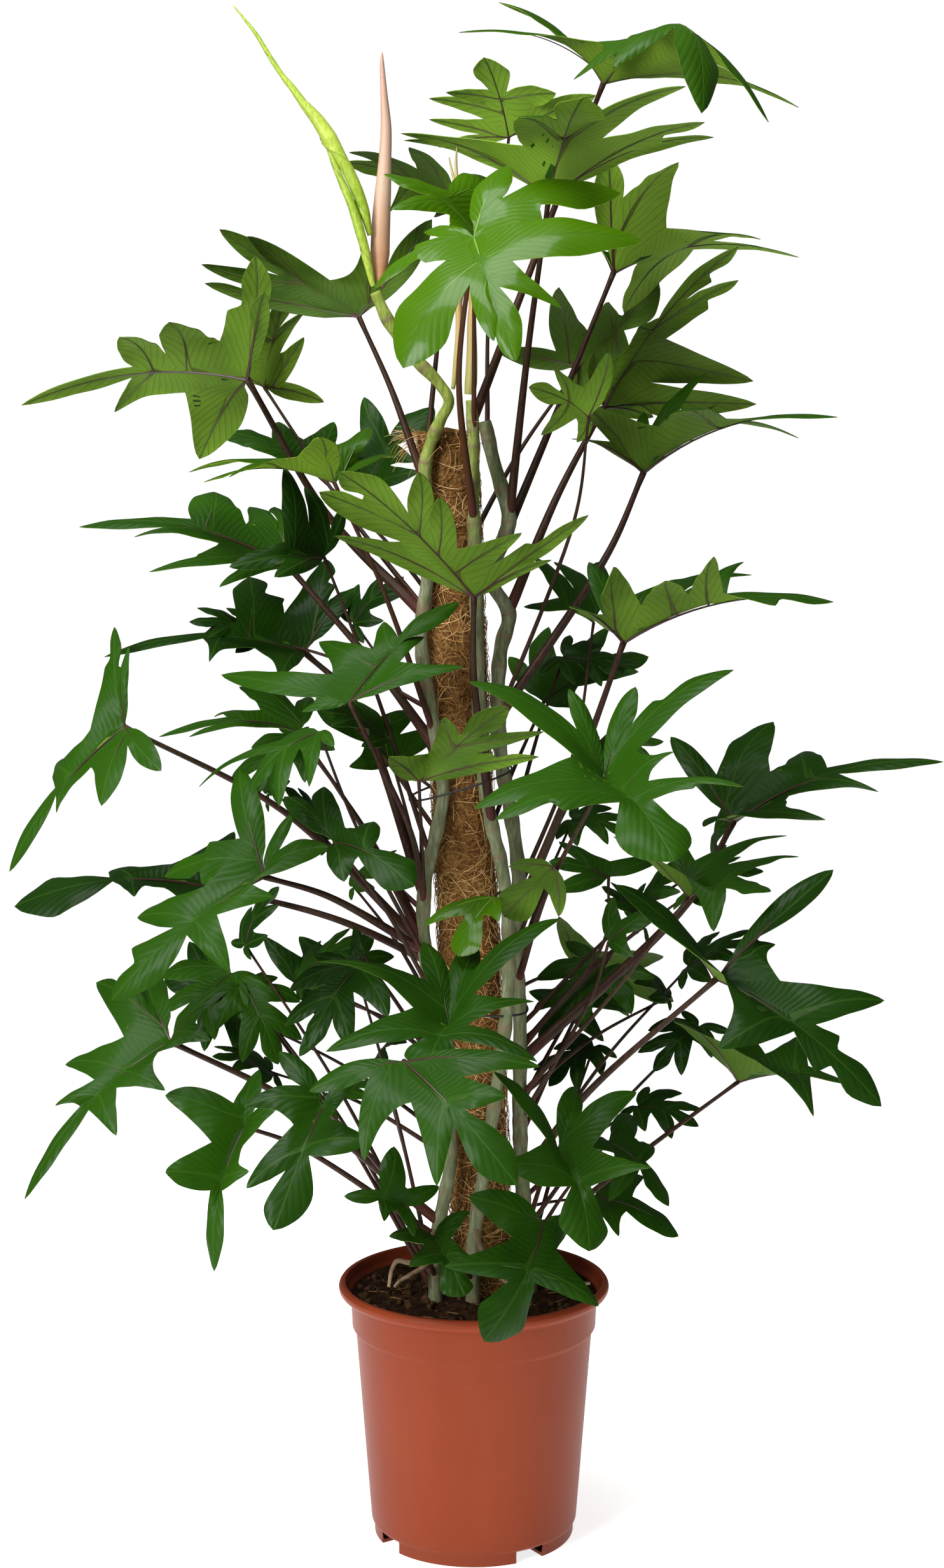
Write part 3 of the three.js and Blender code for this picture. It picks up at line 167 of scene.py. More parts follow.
# The stalk of a leaf stands on its vine at the height node, may pass through via, and ends at the knee.
# Tip, left and right are the tips of the leaf's lobes, each side from the front backward. A fourth number
# is half a lobe's width over its length.
LEAVES = {
    "left": [
        dict(node=1065, knee=[-20, 20, 1320], tip=[-130, 10, 1365, 0.1], via=[-35, -20, 1195],
             left=[[-125, -30, 1375, 0.1], [-65, -70, 1380, 0.14]],
             right=[[-85, 40, 1315, 0.1], [-40, 30, 1310]]),
        dict(node=1045, knee=[-115, 0, 1210], tip=[-255, 10, 1298, 0.07],
             left=[[-227, -20, 1291, 0.12], [-110, -5, 1280, 0.2], [-42, -5, 1308]],
             right=[[-273, -10, 1263, 0.08], [-270, 0, 1244, 0.08]]),
        dict(node=915, knee=[-227, -80, 1148], tip=[-453, -60, 1122, 0.05], via=[-145, 10, 1010],
             left=[[-355, -120, 1190, 0.26], [-305, -150, 1205, 0.24], [-219, -130, 1271],
                   [-210, -170, 1235, 0.12]],
             right=[[-360, -20, 1115, 0.12], [-275, 10, 1068, 0.22]]),
        dict(node=920, knee=[-210, 100, 1140], tip=[-185, 50, 1238, 0.1], via=[-130, 60, 1020],
             left=[[-170, 80, 1215, 0.1], [-170, 100, 1190, 0.14], [-150, 130, 1125]],
             right=[[-240, 30, 1210], [-291, 50, 1179, 0.12]]),
        dict(node=790, knee=[-140, -80, 1045], tip=[-270, -120, 1045, 0.08], via=[-90, -60, 935],
             left=[[-245, -160, 1050, 0.09], [-155, -170, 1090]],
             right=[[-285, -60, 1055, 0.1], [-105, -20, 1100], [-75, 0, 1070]]),
        dict(node=675, knee=[-150, -60, 970], tip=[-245, -120, 960, 0.1], via=[-100, -60, 840],
             left=[[-200, -150, 950, 0.13]],
             right=[[-190, -60, 1060, 0.13], [-170, -50, 1040], [-130, -40, 1020]]),
        dict(node=780, knee=[-185, 20, 960], tip=[-395, 20, 1000, 0.06], via=[-90, -10, 850],
             left=[[-340, -20, 990, 0.05], [-325, -50, 955, 0.07], [-255, -60, 940, 0.1]],
             right=[[-260, 90, 1035, 0.28], [-225, 110, 1020, 0.2], [-200, 110, 1020, 0.2]]),
        dict(node=635, knee=[-170, 40, 875], tip=[-370, 40, 870, 0.045], via=[-120, 20, 825],
             left=[[-265, -20, 865, 0.08], [-195, -30, 850]],
             right=[[-250, 90, 905, 0.13], [-225, 120, 950, 0.26], [-148, 110, 968], [-115, 90, 940]]),
        dict(node=635, knee=[-125, -130, 825], tip=[-15, -80, 925, 0.09], via=[-65, -100, 700],
             left=[[-90, -80, 905], [-155, -80, 885, 0.14], [-253, -70, 852, 0.09],
                   [-172, -130, 815, 0.14]],
             right=[[-50, -100, 890], [-10, -140, 860, 0.08]]),
        dict(node=585, knee=[-350, -40, 800], tip=[-465, -60, 655, 0.055], via=[-190, -30, 715],
             left=[[-418, -100, 714, 0.06], [-373, -120, 721], [-313, -100, 756, 0.2]],
             right=[[-418, 0, 763, 0.15], [-360, 30, 900, 0.08], [-345, -20, 880, 0.08]]),
        dict(node=585, knee=[-175, -40, 795], tip=[-315, -60, 790, 0.07],
             left=[[-285, -110, 790, 0.08]],
             right=[[-260, 0, 810, 0.1], [-235, 20, 840, 0.2], [-165, 30, 830]]),
        dict(node=570, knee=[-155, -150, 795], tip=[-225, -200, 735, 0.15], via=[-120, -110, 705],
             left=[[-195, -230, 720, 0.12], [-165, -220, 740, 0.1], [-140, -190, 780]],
             right=[[-275, -150, 740, 0.05], [-195, -120, 785]]),
        dict(node=625, knee=[-55, -140, 745], tip=[35, -150, 820, 0.14],
             left=[[70, -180, 795, 0.06], [65, -200, 770, 0.07]],
             right=[[-30, -110, 810, 0.2], [-85, -170, 770, 0.24]]),
        dict(node=535, knee=[-140, -150, 685], tip=[-60, -210, 640, 0.28],
             left=[[-100, -120, 705, 0.2], [-150, -90, 740, 0.2], [-190, -90, 730, 0.2]],
             right=[[-130, -200, 645, 0.24]]),
        dict(node=580, knee=[-210, -150, 650], tip=[-363, -180, 526, 0.13], via=[-145, -100, 630],
             left=[[-245, -210, 555], [-200, -175, 630], [-145, -150, 680, 0.22],
                   [-180, -115, 715, 0.12]],
             right=[[-337, -135, 609], [-310, -110, 650, 0.15], [-235, -70, 760, 0.15]]),
        dict(node=445, knee=[-110, -20, 570], tip=[-175, -70, 470, 0.09],
             left=[[-135, -60, 510, 0.14], [-80, 10, 570]],
             right=[[-120, 10, 600]]),
        dict(node=450, knee=[-25, -190, 500], tip=[-50, -270, 455, 0.34],
             left=[[63, -250, 465, 0.13], [60, -190, 525, 0.08], [86, -130, 608, 0.09], [0, -100, 585]],
             right=[[-148, -250, 475, 0.15], [-155, -170, 565, 0.05], [-50, -110, 585, 0.16]]),
        dict(node=315, knee=[-304, -110, 485], tip=[-450, -170, 327, 0.055], via=[-175, -60, 420],
             left=[[-358, -180, 391], [-309, -160, 436, 0.14], [-264, -130, 486, 0.2], [-240, -80, 545]],
             right=[[-419, -150, 421, 0.12], [-409, -90, 462, 0.13], [-378, -30, 544], [-325, 0, 555]]),
        dict(node=415, knee=[-70, -260, 465], tip=[43, -350, 341, 0.15],
             left=[[32, -320, 430, 0.2], [66, -280, 460, 0.1]],
             right=[[-37, -350, 340, 0.13], [-110, -320, 365, 0.11], [-165, -270, 435]]),
        dict(node=280, knee=[-151, -220, 420], tip=[-201, -310, 296, 0.2],
             left=[[-105, -270, 385, 0.24], [-120, -200, 445, 0.2]],
             right=[[-228, -290, 338], [-230, -240, 420, 0.15], [-195, -190, 475, 0.22]]),
        dict(node=300, knee=[-230, -140, 400], tip=[-260, -200, 255, 0.09], via=[-175, -110, 380],
             left=[[-225, -190, 355, 0.2], [-190, -150, 425]],
             right=[[-309, -200, 354, 0.24], [-309, -140, 431, 0.18], [-215, -110, 457, 0.28]]),
        dict(node=260, knee=[-70, -150, 320], tip=[-130, -170, 330, 0.13],
             left=[[-90, -180, 305, 0.2], [-60, -180, 290, 0.2]],
             right=[[-80, -130, 380, 0.24], [-35, -130, 340, 0.22]]),
    ],
    "centre": [
        dict(node=1105, knee=[130, -30, 1445], tip=[228, -190, 1414, 0.16], via=[75, 80, 1305], arch=0.8,
             left=[[295, -120, 1405, 0.16], [325, -40, 1420, 0.1]],
             right=[[140, -150, 1460, 0.16], [100, -90, 1448, 0.12], [-15, -60, 1495, 0.09],
                    [25, 0, 1525, 0.2]]),
        dict(node=1080, knee=[0, -90, 1295], tip=[-90, -120, 1353, 0.12],
             left=[[-83, -150, 1318, 0.13], [-30, -150, 1288]],
             right=[[20, -20, 1345, 0.22], [45, -20, 1310, 0.2]]),
        dict(node=1005, knee=[0, -180, 1290], tip=[42, -280, 1166, 0.12], via=[-15, -90, 1145],
             left=[[88, -240, 1219, 0.09], [169, -190, 1286, 0.16], [147, -130, 1334, 0.2],
                   [34, -120, 1362, 0.22]],
             right=[[20, -270, 1186, 0.16], [-71, -250, 1159, 0.34], [-100, -180, 1238, 0.09],
                    [-50, -150, 1295]]),
        dict(node=705, knee=[0, -120, 930], tip=[-135, -182, 1055, 0.14], via=[0, -90, 850],
             left=[[-55, -182, 1055], [-35, -170, 1030], [48, -152, 994, 0.1], [115, -161, 1012, 0.07],
                   [78, -138, 967, 0.07]],
             right=[[-155, -172, 1035], [-140, -150, 991, 0.07]]),
        dict(node=635, knee=[20, -110, 630], tip=[-15, -150, 570, 0.35],
             left=[[25, -150, 605]],
             right=[[-50, -130, 601, 0.13]]),
        dict(node=260, knee=[-40, -130, 290], tip=[-10, -190, 230, 0.36],
             left=[[0, -170, 265], [-5, -120, 315, 0.24]],
             right=[[-65, -180, 260, 0.2], [-85, -140, 290, 0.24]]),
    ],
    "right": [
        dict(node=1095, knee=[35, 60, 1390], tip=[10, 10, 1470, 0.26], via=[15, 30, 1220],
             left=[[82, 10, 1434, 0.2], [122, 30, 1432, 0.16]],
             right=[[-28, 30, 1435, 0.12], [-45, 60, 1429, 0.09], [-45, 80, 1408, 0.08],
                    [-35, 100, 1380, 0.09]]),
        dict(node=1005, knee=[75, -70, 1330], tip=[110, -230, 1430],
             left=[[212, -150, 1441, 0.08], [231, -90, 1405, 0.1], [240, -40, 1390, 0.08]],
             right=[[45, -190, 1410, 0.3], [-73, -60, 1394, 0.07], [-70, -10, 1387, 0.06]]),
        dict(node=985, knee=[140, 60, 1255], tip=[325, 60, 1270, 0.05], via=[85, 60, 1120],
             left=[[150, 120, 1215, 0.24], [125, 60, 1280, 0.1]],
             right=[[287, 20, 1288, 0.14], [205, -10, 1365, 0.22], [135, 10, 1370, 0.2]]),
        dict(node=915, knee=[130, -20, 1120], tip=[265, -60, 1281, 0.07],
             left=[[265, -60, 1247, 0.12], [280, 60, 1146, 0.1], [283, 40, 1123, 0.1], [180, 20, 1110]],
             right=[[165, -60, 1200], [120, -40, 1175, 0.2]]),
        dict(node=810, knee=[115, -150, 1110], tip=[55, -110, 1140], via=[100, -60, 1005],
             left=[[80, -140, 1160, 0.18], [135, -170, 1175, 0.2]],
             right=[[67, -90, 1092, 0.12], [103, -100, 1085, 0.14]]),
        dict(node=810, knee=[170, -40, 1055], tip=[364, -60, 1110, 0.07], via=[135, -30, 975],
             left=[[325, 10, 1089, 0.05], [243, 0, 1122, 0.09], [234, -10, 1155], [170, 10, 1115, 0.14]],
             right=[[205, -130, 1115, 0.22], [96, -90, 1138, 0.11], [98, -90, 1088, 0.04]]),
        dict(node=635, knee=[120, 30, 905], tip=[50, 10, 920, 0.14], via=[100, 20, 775],
             left=[[100, 0, 915]],
             right=[[60, 60, 970], [80, 90, 965], [125, 110, 965]]),
        dict(node=610, knee=[150, -110, 885], tip=[360, -120, 925, 0.07], via=[105, -80, 760],
             left=[[270, -70, 965, 0.08], [278, -25, 952, 0.07], [115, -90, 965]],
             right=[[240, -180, 970, 0.14], [192, -190, 946, 0.18], [140, -170, 960, 0.2],
                    [95, -170, 920]]),
        dict(node=545, knee=[130, -180, 745], tip=[200, -300, 665, 0.3], via=[75, -100, 640],
             left=[[270, -260, 740, 0.07], [200, -220, 775, 0.08], [260, -160, 857, 0.1],
                   [162, -150, 840]],
             right=[[22, -290, 707, 0.13], [0, -260, 718, 0.13], [-5, -170, 845, 0.11],
                    [95, -150, 838, 0.14]]),
        dict(node=465, knee=[260, 30, 705], tip=[470, 0, 765, 0.05], via=[215, 0, 625],
             left=[[330, 90, 775, 0.2], [300, 80, 805, 0.26], [197, 80, 790, 0.15]],
             right=[[405, -40, 735, 0.06], [352, -60, 707, 0.08], [230, -50, 700, 0.12]]),
        dict(node=580, knee=[80, -140, 660], tip=[30, -90, 610, 0.3],
             left=[[35, -110, 660]],
             right=[[85, -110, 610]]),
        dict(node=475, knee=[135, 20, 650], tip=[75, 0, 665, 0.13], via=[130, 10, 585],
             left=[[80, -20, 635]],
             right=[[85, 40, 685], [190, 60, 670, 0.12]]),
        dict(node=430, knee=[215, -90, 630], tip=[297, -150, 635, 0.24], via=[145, -80, 540],
             left=[[325, -80, 670], [313, -30, 691, 0.12], [200, -30, 690]],
             right=[[240, -150, 595, 0.18], [140, -100, 690, 0.2]]),
        dict(node=405, knee=[135, -60, 585], tip=[185, -70, 615], via=[120, -50, 535],
             left=[[140, -30, 630, 0.2]],
             right=[[160, -90, 570]]),
        dict(node=350, knee=[243, -150, 548], tip=[408, -210, 420, 0.12], via=[115, -100, 435],
             left=[[411, -170, 526, 0.13], [302, -140, 582, 0.13], [360, -120, 657, 0.12]],
             right=[[245, -230, 478, 0.18], [143, -160, 642, 0.13]]),
        dict(node=285, knee=[265, 20, 445], tip=[405, 10, 430, 0.07], via=[170, 10, 375],
             left=[[325, 80, 490, 0.12], [275, 90, 500, 0.22], [195, 70, 510, 0.14]],
             right=[[340, -40, 410, 0.09], [200, -20, 505, 0.14]]),
        dict(node=280, knee=[135, -60, 385], tip=[195, -110, 320],
             left=[[180, -40, 380], [160, 20, 410]],
             right=[[135, -120, 325], [100, -100, 380]]),
        dict(node=300, knee=[85, -180, 375], tip=[115, -270, 275, 0.27],
             left=[[177, -240, 359, 0.1], [163, -150, 434, 0.14], [100, -110, 440, 0.2]],
             right=[[30, -240, 360, 0.28], [20, -150, 455, 0.13]]),
        dict(node=260, knee=[70, -140, 305], tip=[10, -215, 185, 0.25],
             left=[[125, -200, 220, 0.13], [100, -100, 300]],
             right=[[-30, -200, 260, 0.13], [-5, -150, 330, 0.26]]),
    ],
    "back": [
        dict(node=955, knee=[105, 160, 1160], tip=[185, 110, 1245],
             left=[[155, 130, 1145], [100, 160, 1120]],
             right=[[135, 90, 1225], [85, 100, 1240], [25, 170, 1175]]),
        dict(node=890, knee=[-160, 100, 1055], tip=[-255, 100, 1095],
             left=[[-225, 50, 1080]],
             right=[[-195, 150, 1105], [-140, 150, 1105]]),
        dict(node=915, knee=[-110, 150, 1035], tip=[-40, 180, 1120],
             left=[[-110, 180, 1130], [-145, 170, 1080]],
             right=[[-60, 120, 1065], [-55, 110, 1055]]),
        dict(node=625, knee=[70, 110, 825], tip=[175, 100, 870],
             left=[[135, 140, 900], [75, 170, 900], [35, 160, 870]],
             right=[[165, 70, 855], [110, 70, 820]]),
        dict(node=700, knee=[-80, 90, 765], tip=[-160, 80, 825],
             left=[[-125, 50, 760]],
             right=[[-60, 120, 815], [-35, 130, 800]]),
        dict(node=535, knee=[-265, 80, 640], tip=[-460, 60, 620],
             left=[[-340, 20, 630], [-285, 20, 610]],
             right=[[-365, 110, 655], [-240, 130, 695]]),
        dict(node=495, knee=[100, 200, 560], tip=[200, 200, 525],
             left=[[155, 240, 510]],
             right=[[190, 170, 570], [85, 170, 610]]),
        dict(node=445, knee=[-175, 120, 540], tip=[-100, 150, 590],
             left=[[-175, 160, 590], [-210, 140, 590]],
             right=[[-155, 90, 510]]),
        dict(node=430, knee=[115, 110, 535], tip=[65, 90, 485],
             left=[[130, 90, 485], [155, 120, 515]],
             right=[[55, 120, 535], [100, 170, 570]]),
        dict(node=350, knee=[-240, 130, 515], tip=[-310, 150, 550],
             left=[[-270, 100, 475], [-230, 90, 460]],
             right=[[-285, 180, 585], [-210, 160, 555]]),
        dict(node=290, knee=[120, 40, 330], tip=[205, 30, 290],
             left=[[170, 90, 350]],
             right=[[145, 0, 290]]),
    ],
}

# Strands are places with a radius, from the foot up. Span holds the heights between which a colour changes.
SHOOTS = {
    "shoot_left": {
        "slot": "rolled_leaf",
        "strands": [[[-104, -56, 1292, 2.5], [-109, -57, 1314, 5], [-117, -58, 1336, 6],
                     [-126, -59, 1356, 6], [-135, -60, 1373, 6.5], [-145, -60, 1389, 8],
                     [-156, -60, 1406, 6.4], [-169, -60, 1422, 4.6], [-182, -60, 1440, 3.4],
                     [-192, -60, 1452, 2.6], [-204, -60, 1470, 2.3], [-217, -60, 1492, 2],
                     [-231, -60, 1510, 1.3], [-241, -60, 1522, 0.6]],
                    [[-101, -56, 1241, 2.4], [-103, -57, 1250, 3.2], [-108, -60, 1273, 4.4],
                     [-115, -61, 1298, 5], [-124, -61, 1327, 4.2], [-137, -61, 1356, 3.2],
                     [-145, -60, 1378, 2.6]]],
    },
    "sheath_left": {
        "slot": "pink_sheath", "span": (1240, 1475),
        "strands": [[[-94, -51, 1241, 3.4], [-94, -47, 1262, 7.8], [-94, -45, 1274, 9.5],
                     [-93, -44, 1305, 9.2], [-91, -44, 1336, 8], [-89, -44, 1368, 6.3],
                     [-88, -44, 1400, 5.4], [-90, -45, 1432, 3.6], [-92, -45, 1464, 2.2],
                     [-92, -45, 1475, 0.8]]],
    },
    "shoot_centre": {
        "slot": "cream_sheath", "span": (1135, 1380),
        "strands": [[[-21, -45, 1138, 2], [-17, -47, 1168, 3.6], [-15, -48, 1196, 3.4],
                     [-15, -48, 1225, 3.4], [-14, -48, 1238, 5], [-15, -48, 1254, 5.8],
                     [-16, -47, 1273, 5], [-18, -46, 1305, 3.2], [-18, -45, 1337, 2.2],
                     [-22, -45, 1356, 1.3], [-25, -45, 1370, 0.6]],
                    [[-4, -42, 1133, 5.5], [-3, -43, 1145, 6.2], [-2, -44, 1171, 5.4],
                     [-2, -45, 1211, 4.2], [-1, -45, 1222, 4.2], [-3, -45, 1241, 4], [-8, -45, 1273, 3.4],
                     [-12, -45, 1305, 2.6], [-16, -45, 1337, 2.2], [-18, -45, 1362, 1.6],
                     [-17, -45, 1381, 0.6]]],
    },
}

# Painted light and shade on the undersides of the leaves whose shade the photograph shows plainly: how
# light each is painted, from 0 for painted shade to 1 for painted light, by their numbers.
PAINTED_UNDERSIDE_LIGHT = {2: 0, 3: 0.5, 4: 0.5, 13: 0.15, 26: 0.35, 29: 1, 30: 0.75, 31: 0.95, 32: 0.5, 33: 0.5, 34: 0.3,
          35: 0.3, 36: 0.5, 39: 0.15, 43: 0.4, 44: 0.05}
# How fresh the newest leaves are, which are a vivid green. The others are 0.
YOUTHS = {5: 0.3, 23: 0.25, 24: 0.8, 25: 1, 27: 0.75}

# Small leaves as node, knee and tip. Their lobes follow a rule.
SMALL_LEAVES = {
    "left": [
        (640, (-89, -60, 789), (-159, -80, 823)), (600, (-173, 40, 787), (-226, 20, 728)),
        (560, (-149, 60, 688), (-190, 40, 740)), (470, (-173, 80, 546), (-110, 60, 590)),
        (262, (-229, 60, 582), (-195, 40, 640)), (245, (-243, 70, 553), (-300, 30, 490)),
        (255, (-230, 50, 540), (-196, 10, 462)), (250, (-118, -60, 558), (-166, -110, 478)),
        (760, (-120, 60, 905), (-70, 60, 950)), (240, (-150, 40, 420), (-90, 10, 445)),
        (380, (-205, 90, 455), (-262, 60, 470)), (620, (-205, 90, 735), (-165, 60, 800)),
        (700, (-140, 90, 820), (-95, 60, 862)), (520, (-120, 90, 640), (-70, 70, 668)),
        (248, (-95, 60, 470), (-50, 20, 500)), (820, (-215, 60, 890), (-285, 40, 905)),
    ],
    "right": [
        (480, (169, 60, 601), (128, 40, 640)), (420, (130, 60, 558), (73, 20, 490)),
        (430, (193, 80, 529), (150, 60, 560)), (560, (99, 80, 707), (156, 60, 690)),
        (700, (90, 70, 870), (150, 50, 850)), (330, (165, 60, 420), (225, 30, 400)),
        (480, (225, 50, 640), (290, 10, 655)), (500, (240, 90, 668), (262, 60, 728)),
        (390, (160, 90, 610), (215, 70, 660)), (300, (225, 80, 500), (180, 50, 455)),
        (270, (120, 70, 480), (75, 40, 440)), (600, (120, 90, 770), (190, 70, 785)),
        (350, (215, 90, 560), (285, 60, 585)),
    ],
}
# Where a small leaf's side lobes reach, in shares of its length ahead of the knee and aside, how far they
# stray from that, how wide they are for their length, and the way that its upper face looks.
SMALL = {"pairs": [(0.82, 0.42), (0.4, 0.62), (-0.08, 0.55)], "stray": 0.08, "reach": (0.8, 1.15),
         "width": 0.19, "tip_width": 0.15, "face": Vector((0, -0.55, 0.84))}


# Making pieces.

class Mould:
    """Points, faces and what is painted on them, gathered for one piece."""

    def __init__(self):
        self.points = []
        self.faces = []
        self.corners = []
        self.slots = []
        self.paint = []

    def add(self, points, faces, slots=0, corners=None, paint=(0, 0, 0)):
        """Faces hold places in points. Slots are one material for all faces or one for each, and paint is
        alike for the points. Corners hold one (u, v) in mm for each corner of each face."""
        first = len(self.points)
        self.points.extend(points)
        self.paint.extend(paint if isinstance(paint, list) else [paint] * len(points))
        self.faces.extend([first + i for i in face] for face in faces)
        self.corners.extend(corners or [[(0, 0)] * len(face) for face in faces])
        self.slots.extend(slots if isinstance(slots, list) else [slots] * len(faces))

    def shape(self, name, materials=(), sharp=None):
        """A Blender object with these points and faces."""
        mesh = bpy.data.meshes.new(name)
        mesh.from_pydata([Vector(point) * MM for point in self.points], [], self.faces)
        mesh.polygons.foreach_set("material_index", self.slots)
        mesh.polygons.foreach_set("use_smooth", [True] * len(self.faces))
        layout = mesh.uv_layers.new(name="run")
        flat = [number * MM for face in self.corners for corner in face for number in corner]
        layout.data.foreach_set("uv", flat)
        paint = mesh.color_attributes.new("paint", "FLOAT_COLOR", "POINT")
        paint.data.foreach_set("color", [number for colour in self.paint for number in (*colour, 1)])
        if sharp:
            mesh.set_sharp_from_angle(angle=math.radians(sharp))
        mesh.validate()
        made = bpy.data.objects.new(name, mesh)
        bpy.context.scene.collection.objects.link(made)
        for material in materials:
            mesh.materials.append(material)
        return made

    def piece(self, name, materials, stands_for, slot, sharp=None):
        """The finished piece, riding on the one body of the object."""
        made = self.shape(name, materials, sharp)
        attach(made, "root")
        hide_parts(*stands_for)
        return made


def mix(a, b, share):
    return a + (b - a) * share


def smooth(low, high, value):
    """0 at low and 1 at high, with a soft change between. Low may be the greater one."""
    share = min(max((value - low) / (high - low), 0), 1)
    return share * share * (3 - 2 * share)


def bell(distance, width):
    """1 at no distance, and little past a width."""
    return math.exp(-(distance / width) ** 2)


def along_list(values, share):
    """A value between the entries of a list, where share runs from 0 to 1."""
    place = share * (len(values) - 1)
    low = min(int(place), len(values) - 2)
    return mix(values[low], values[low + 1], place - low)


def square_to(direction, ahead):
    """A direction, turned as little as it takes to stand square to the way ahead."""
    return (direction - ahead * direction.dot(ahead)).normalized()


def rough_noise(point, size, octaves, falloff=1):
    """Noise of lumps about a size, with finer ones on them."""
    return noise.fractal(point / size, falloff, 2, octaves)


def seen(place):
    """A place is [across, depth, height], read on the upright plane through the pot's axis as the eye
    sees them. Depth slides it back along its line of sight."""
    across, depth, height = place[:3]
    spread = (EYE["distance"] + depth) / EYE["distance"]
    return Vector((across * spread, depth, EYE["height"] + (height - EYE["height"]) * spread))


def curve_point(places, share):
    """A point on the centripetal Catmull-Rom curve through the places."""
    last = len(places) - 1
    start = min(int(share * last), last - 1)
    weight = share * last - start
    b, c = places[start], places[start + 1]
    a = places[start - 1] if start > 0 else 2 * b - c
    d = places[start + 2] if start + 2 <= last else 2 * c - b
    gaps = [max((q - p).length, 1e-4) ** 0.5 for p, q in ((a, b), (b, c), (c, d))]
    leave = ((b - a) / gaps[0] - (c - a) / (gaps[0] + gaps[1]) + (c - b) / gaps[1]) * gaps[1]
    reach = ((c - b) / gaps[1] - (d - b) / (gaps[1] + gaps[2]) + (d - c) / gaps[2]) * gaps[1]
    square, cube = weight ** 2, weight ** 3
    return (b * (2 * cube - 3 * square + 1) + leave * (cube - 2 * square + weight)
            + c * (3 * square - 2 * cube) + reach * (cube - square))


def curve(places, steps):
    return [curve_point(places, i / steps) for i in range(steps + 1)]


def tube(mould, points, radii, sides, slot=0, paint=(0, 0, 0), ring=False, ripple=None):
    """A round tube with flat ends, or a closed ring. Ripple changes the radius by angle and length."""
    count = len(points)
    run = 0
    across = None
    corners, colours, runs = [], [], []
    for i, point in enumerate(points):
        before = points[(i - 1) % count if ring else max(i - 1, 0)]
        after = points[(i + 1) % count if ring else min(i + 1, count - 1)]
        ahead = (after - before).normalized()
        if across is None:
            across = Vector((0, 0, 1)) if abs(ahead.z) < 0.7 else Vector((1, 0, 0))
        across = square_to(across, ahead)
        side = ahead.cross(across)
        run += (point - points[i - 1]).length if i else 0
        runs.append(run)
        for k in range(sides):
            angle = math.tau * k / sides
            radius = radii[i] * (ripple(angle, run) if ripple else 1)
            corners.append(point + across * radius * math.cos(angle) + side * radius * math.sin(angle))
            colours.append(paint[i] if isinstance(paint, list) else paint)
    faces, marks = [], []
    for i in range(count if ring else count - 1):
        following = (i + 1) % count
        high = runs[following] if following else runs[i] + (points[0] - points[i]).length
        for k in range(sides):
            turn = (k + 1) % sides
            faces.append([i * sides + k, i * sides + turn, following * sides + turn, following * sides + k])
            wide = math.tau * radii[i] / sides
            marks.append([(runs[i], k * wide), (runs[i], (k + 1) * wide),
                          (high, (k + 1) * wide), (high, k * wide)])
    if not ring:
        faces.append(list(range(sides))[::-1])
        faces.append([(count - 1) * sides + k for k in range(sides)])
        marks.append([(0, 0)] * sides)
        marks.append([(run, 0)] * sides)
    mould.add(corners, faces, slot, marks, colours)


# The camera.

def add_camera():
    """Level, with the lens shifted as the photograph was cropped."""
    lens = bpy.data.cameras.new("camera")
    lens.lens = lens.sensor_width * PHOTO["focal"] / PHOTO["height"]
    lens.shift_x = (PHOTO["width"] / 2 - PHOTO["axis"]) / PHOTO["height"]
    lens.shift_y = (PHOTO["horizon"] - PHOTO["height"] / 2) / PHOTO["height"]
    camera = bpy.data.objects.new("camera", lens)
    camera.location = Vector((0, -EYE["distance"], EYE["height"])) * MM
    camera.rotation_euler = (math.radians(90), 0, 0)
    bpy.context.scene.collection.objects.link(camera)
    bpy.context.scene.camera = camera


# Shader trees.

class Wire:
    """An output of a shader tree. Arithmetic on it adds Math nodes."""

    def __init__(self, finish, socket):
        self.finish = finish
        self.socket = socket

    def math(self, operation, *values):
        return self.finish.node("ShaderNodeMath", {"operation": operation}, dict(enumerate(values)))

    def __add__(self, other):
        return self.math("ADD", self, other)

    def __sub__(self, other):
        return self.math("SUBTRACT", self, other)

    def __rsub__(self, other):
        return self.math("SUBTRACT", other, self)

    def __mul__(self, other):
        return self.math("MULTIPLY", self, other)

    def __truediv__(self, other):
        return self.math("DIVIDE", self, other)

    def __rtruediv__(self, other):
        return self.math("DIVIDE", other, self)

    def __abs__(self):
        return self.math("ABSOLUTE", self)

    __radd__ = __add__
    __rmul__ = __mul__

    def step(self, low, high):
        """0 below low and 1 above high, with a soft change between. Low may be the greater one."""
        return self.finish.node("ShaderNodeMapRange", {"interpolation_type": "SMOOTHSTEP"},
                                {"Value": self, "From Min": low, "From Max": high})

    def lines(self, spacing, width, soft):
        """1 on lines that lie a spacing apart along this value, and 0 between them."""
        from_line = self.math("PINGPONG", self, spacing / 2)
        return from_line.step(width / 2 + soft, width / 2)


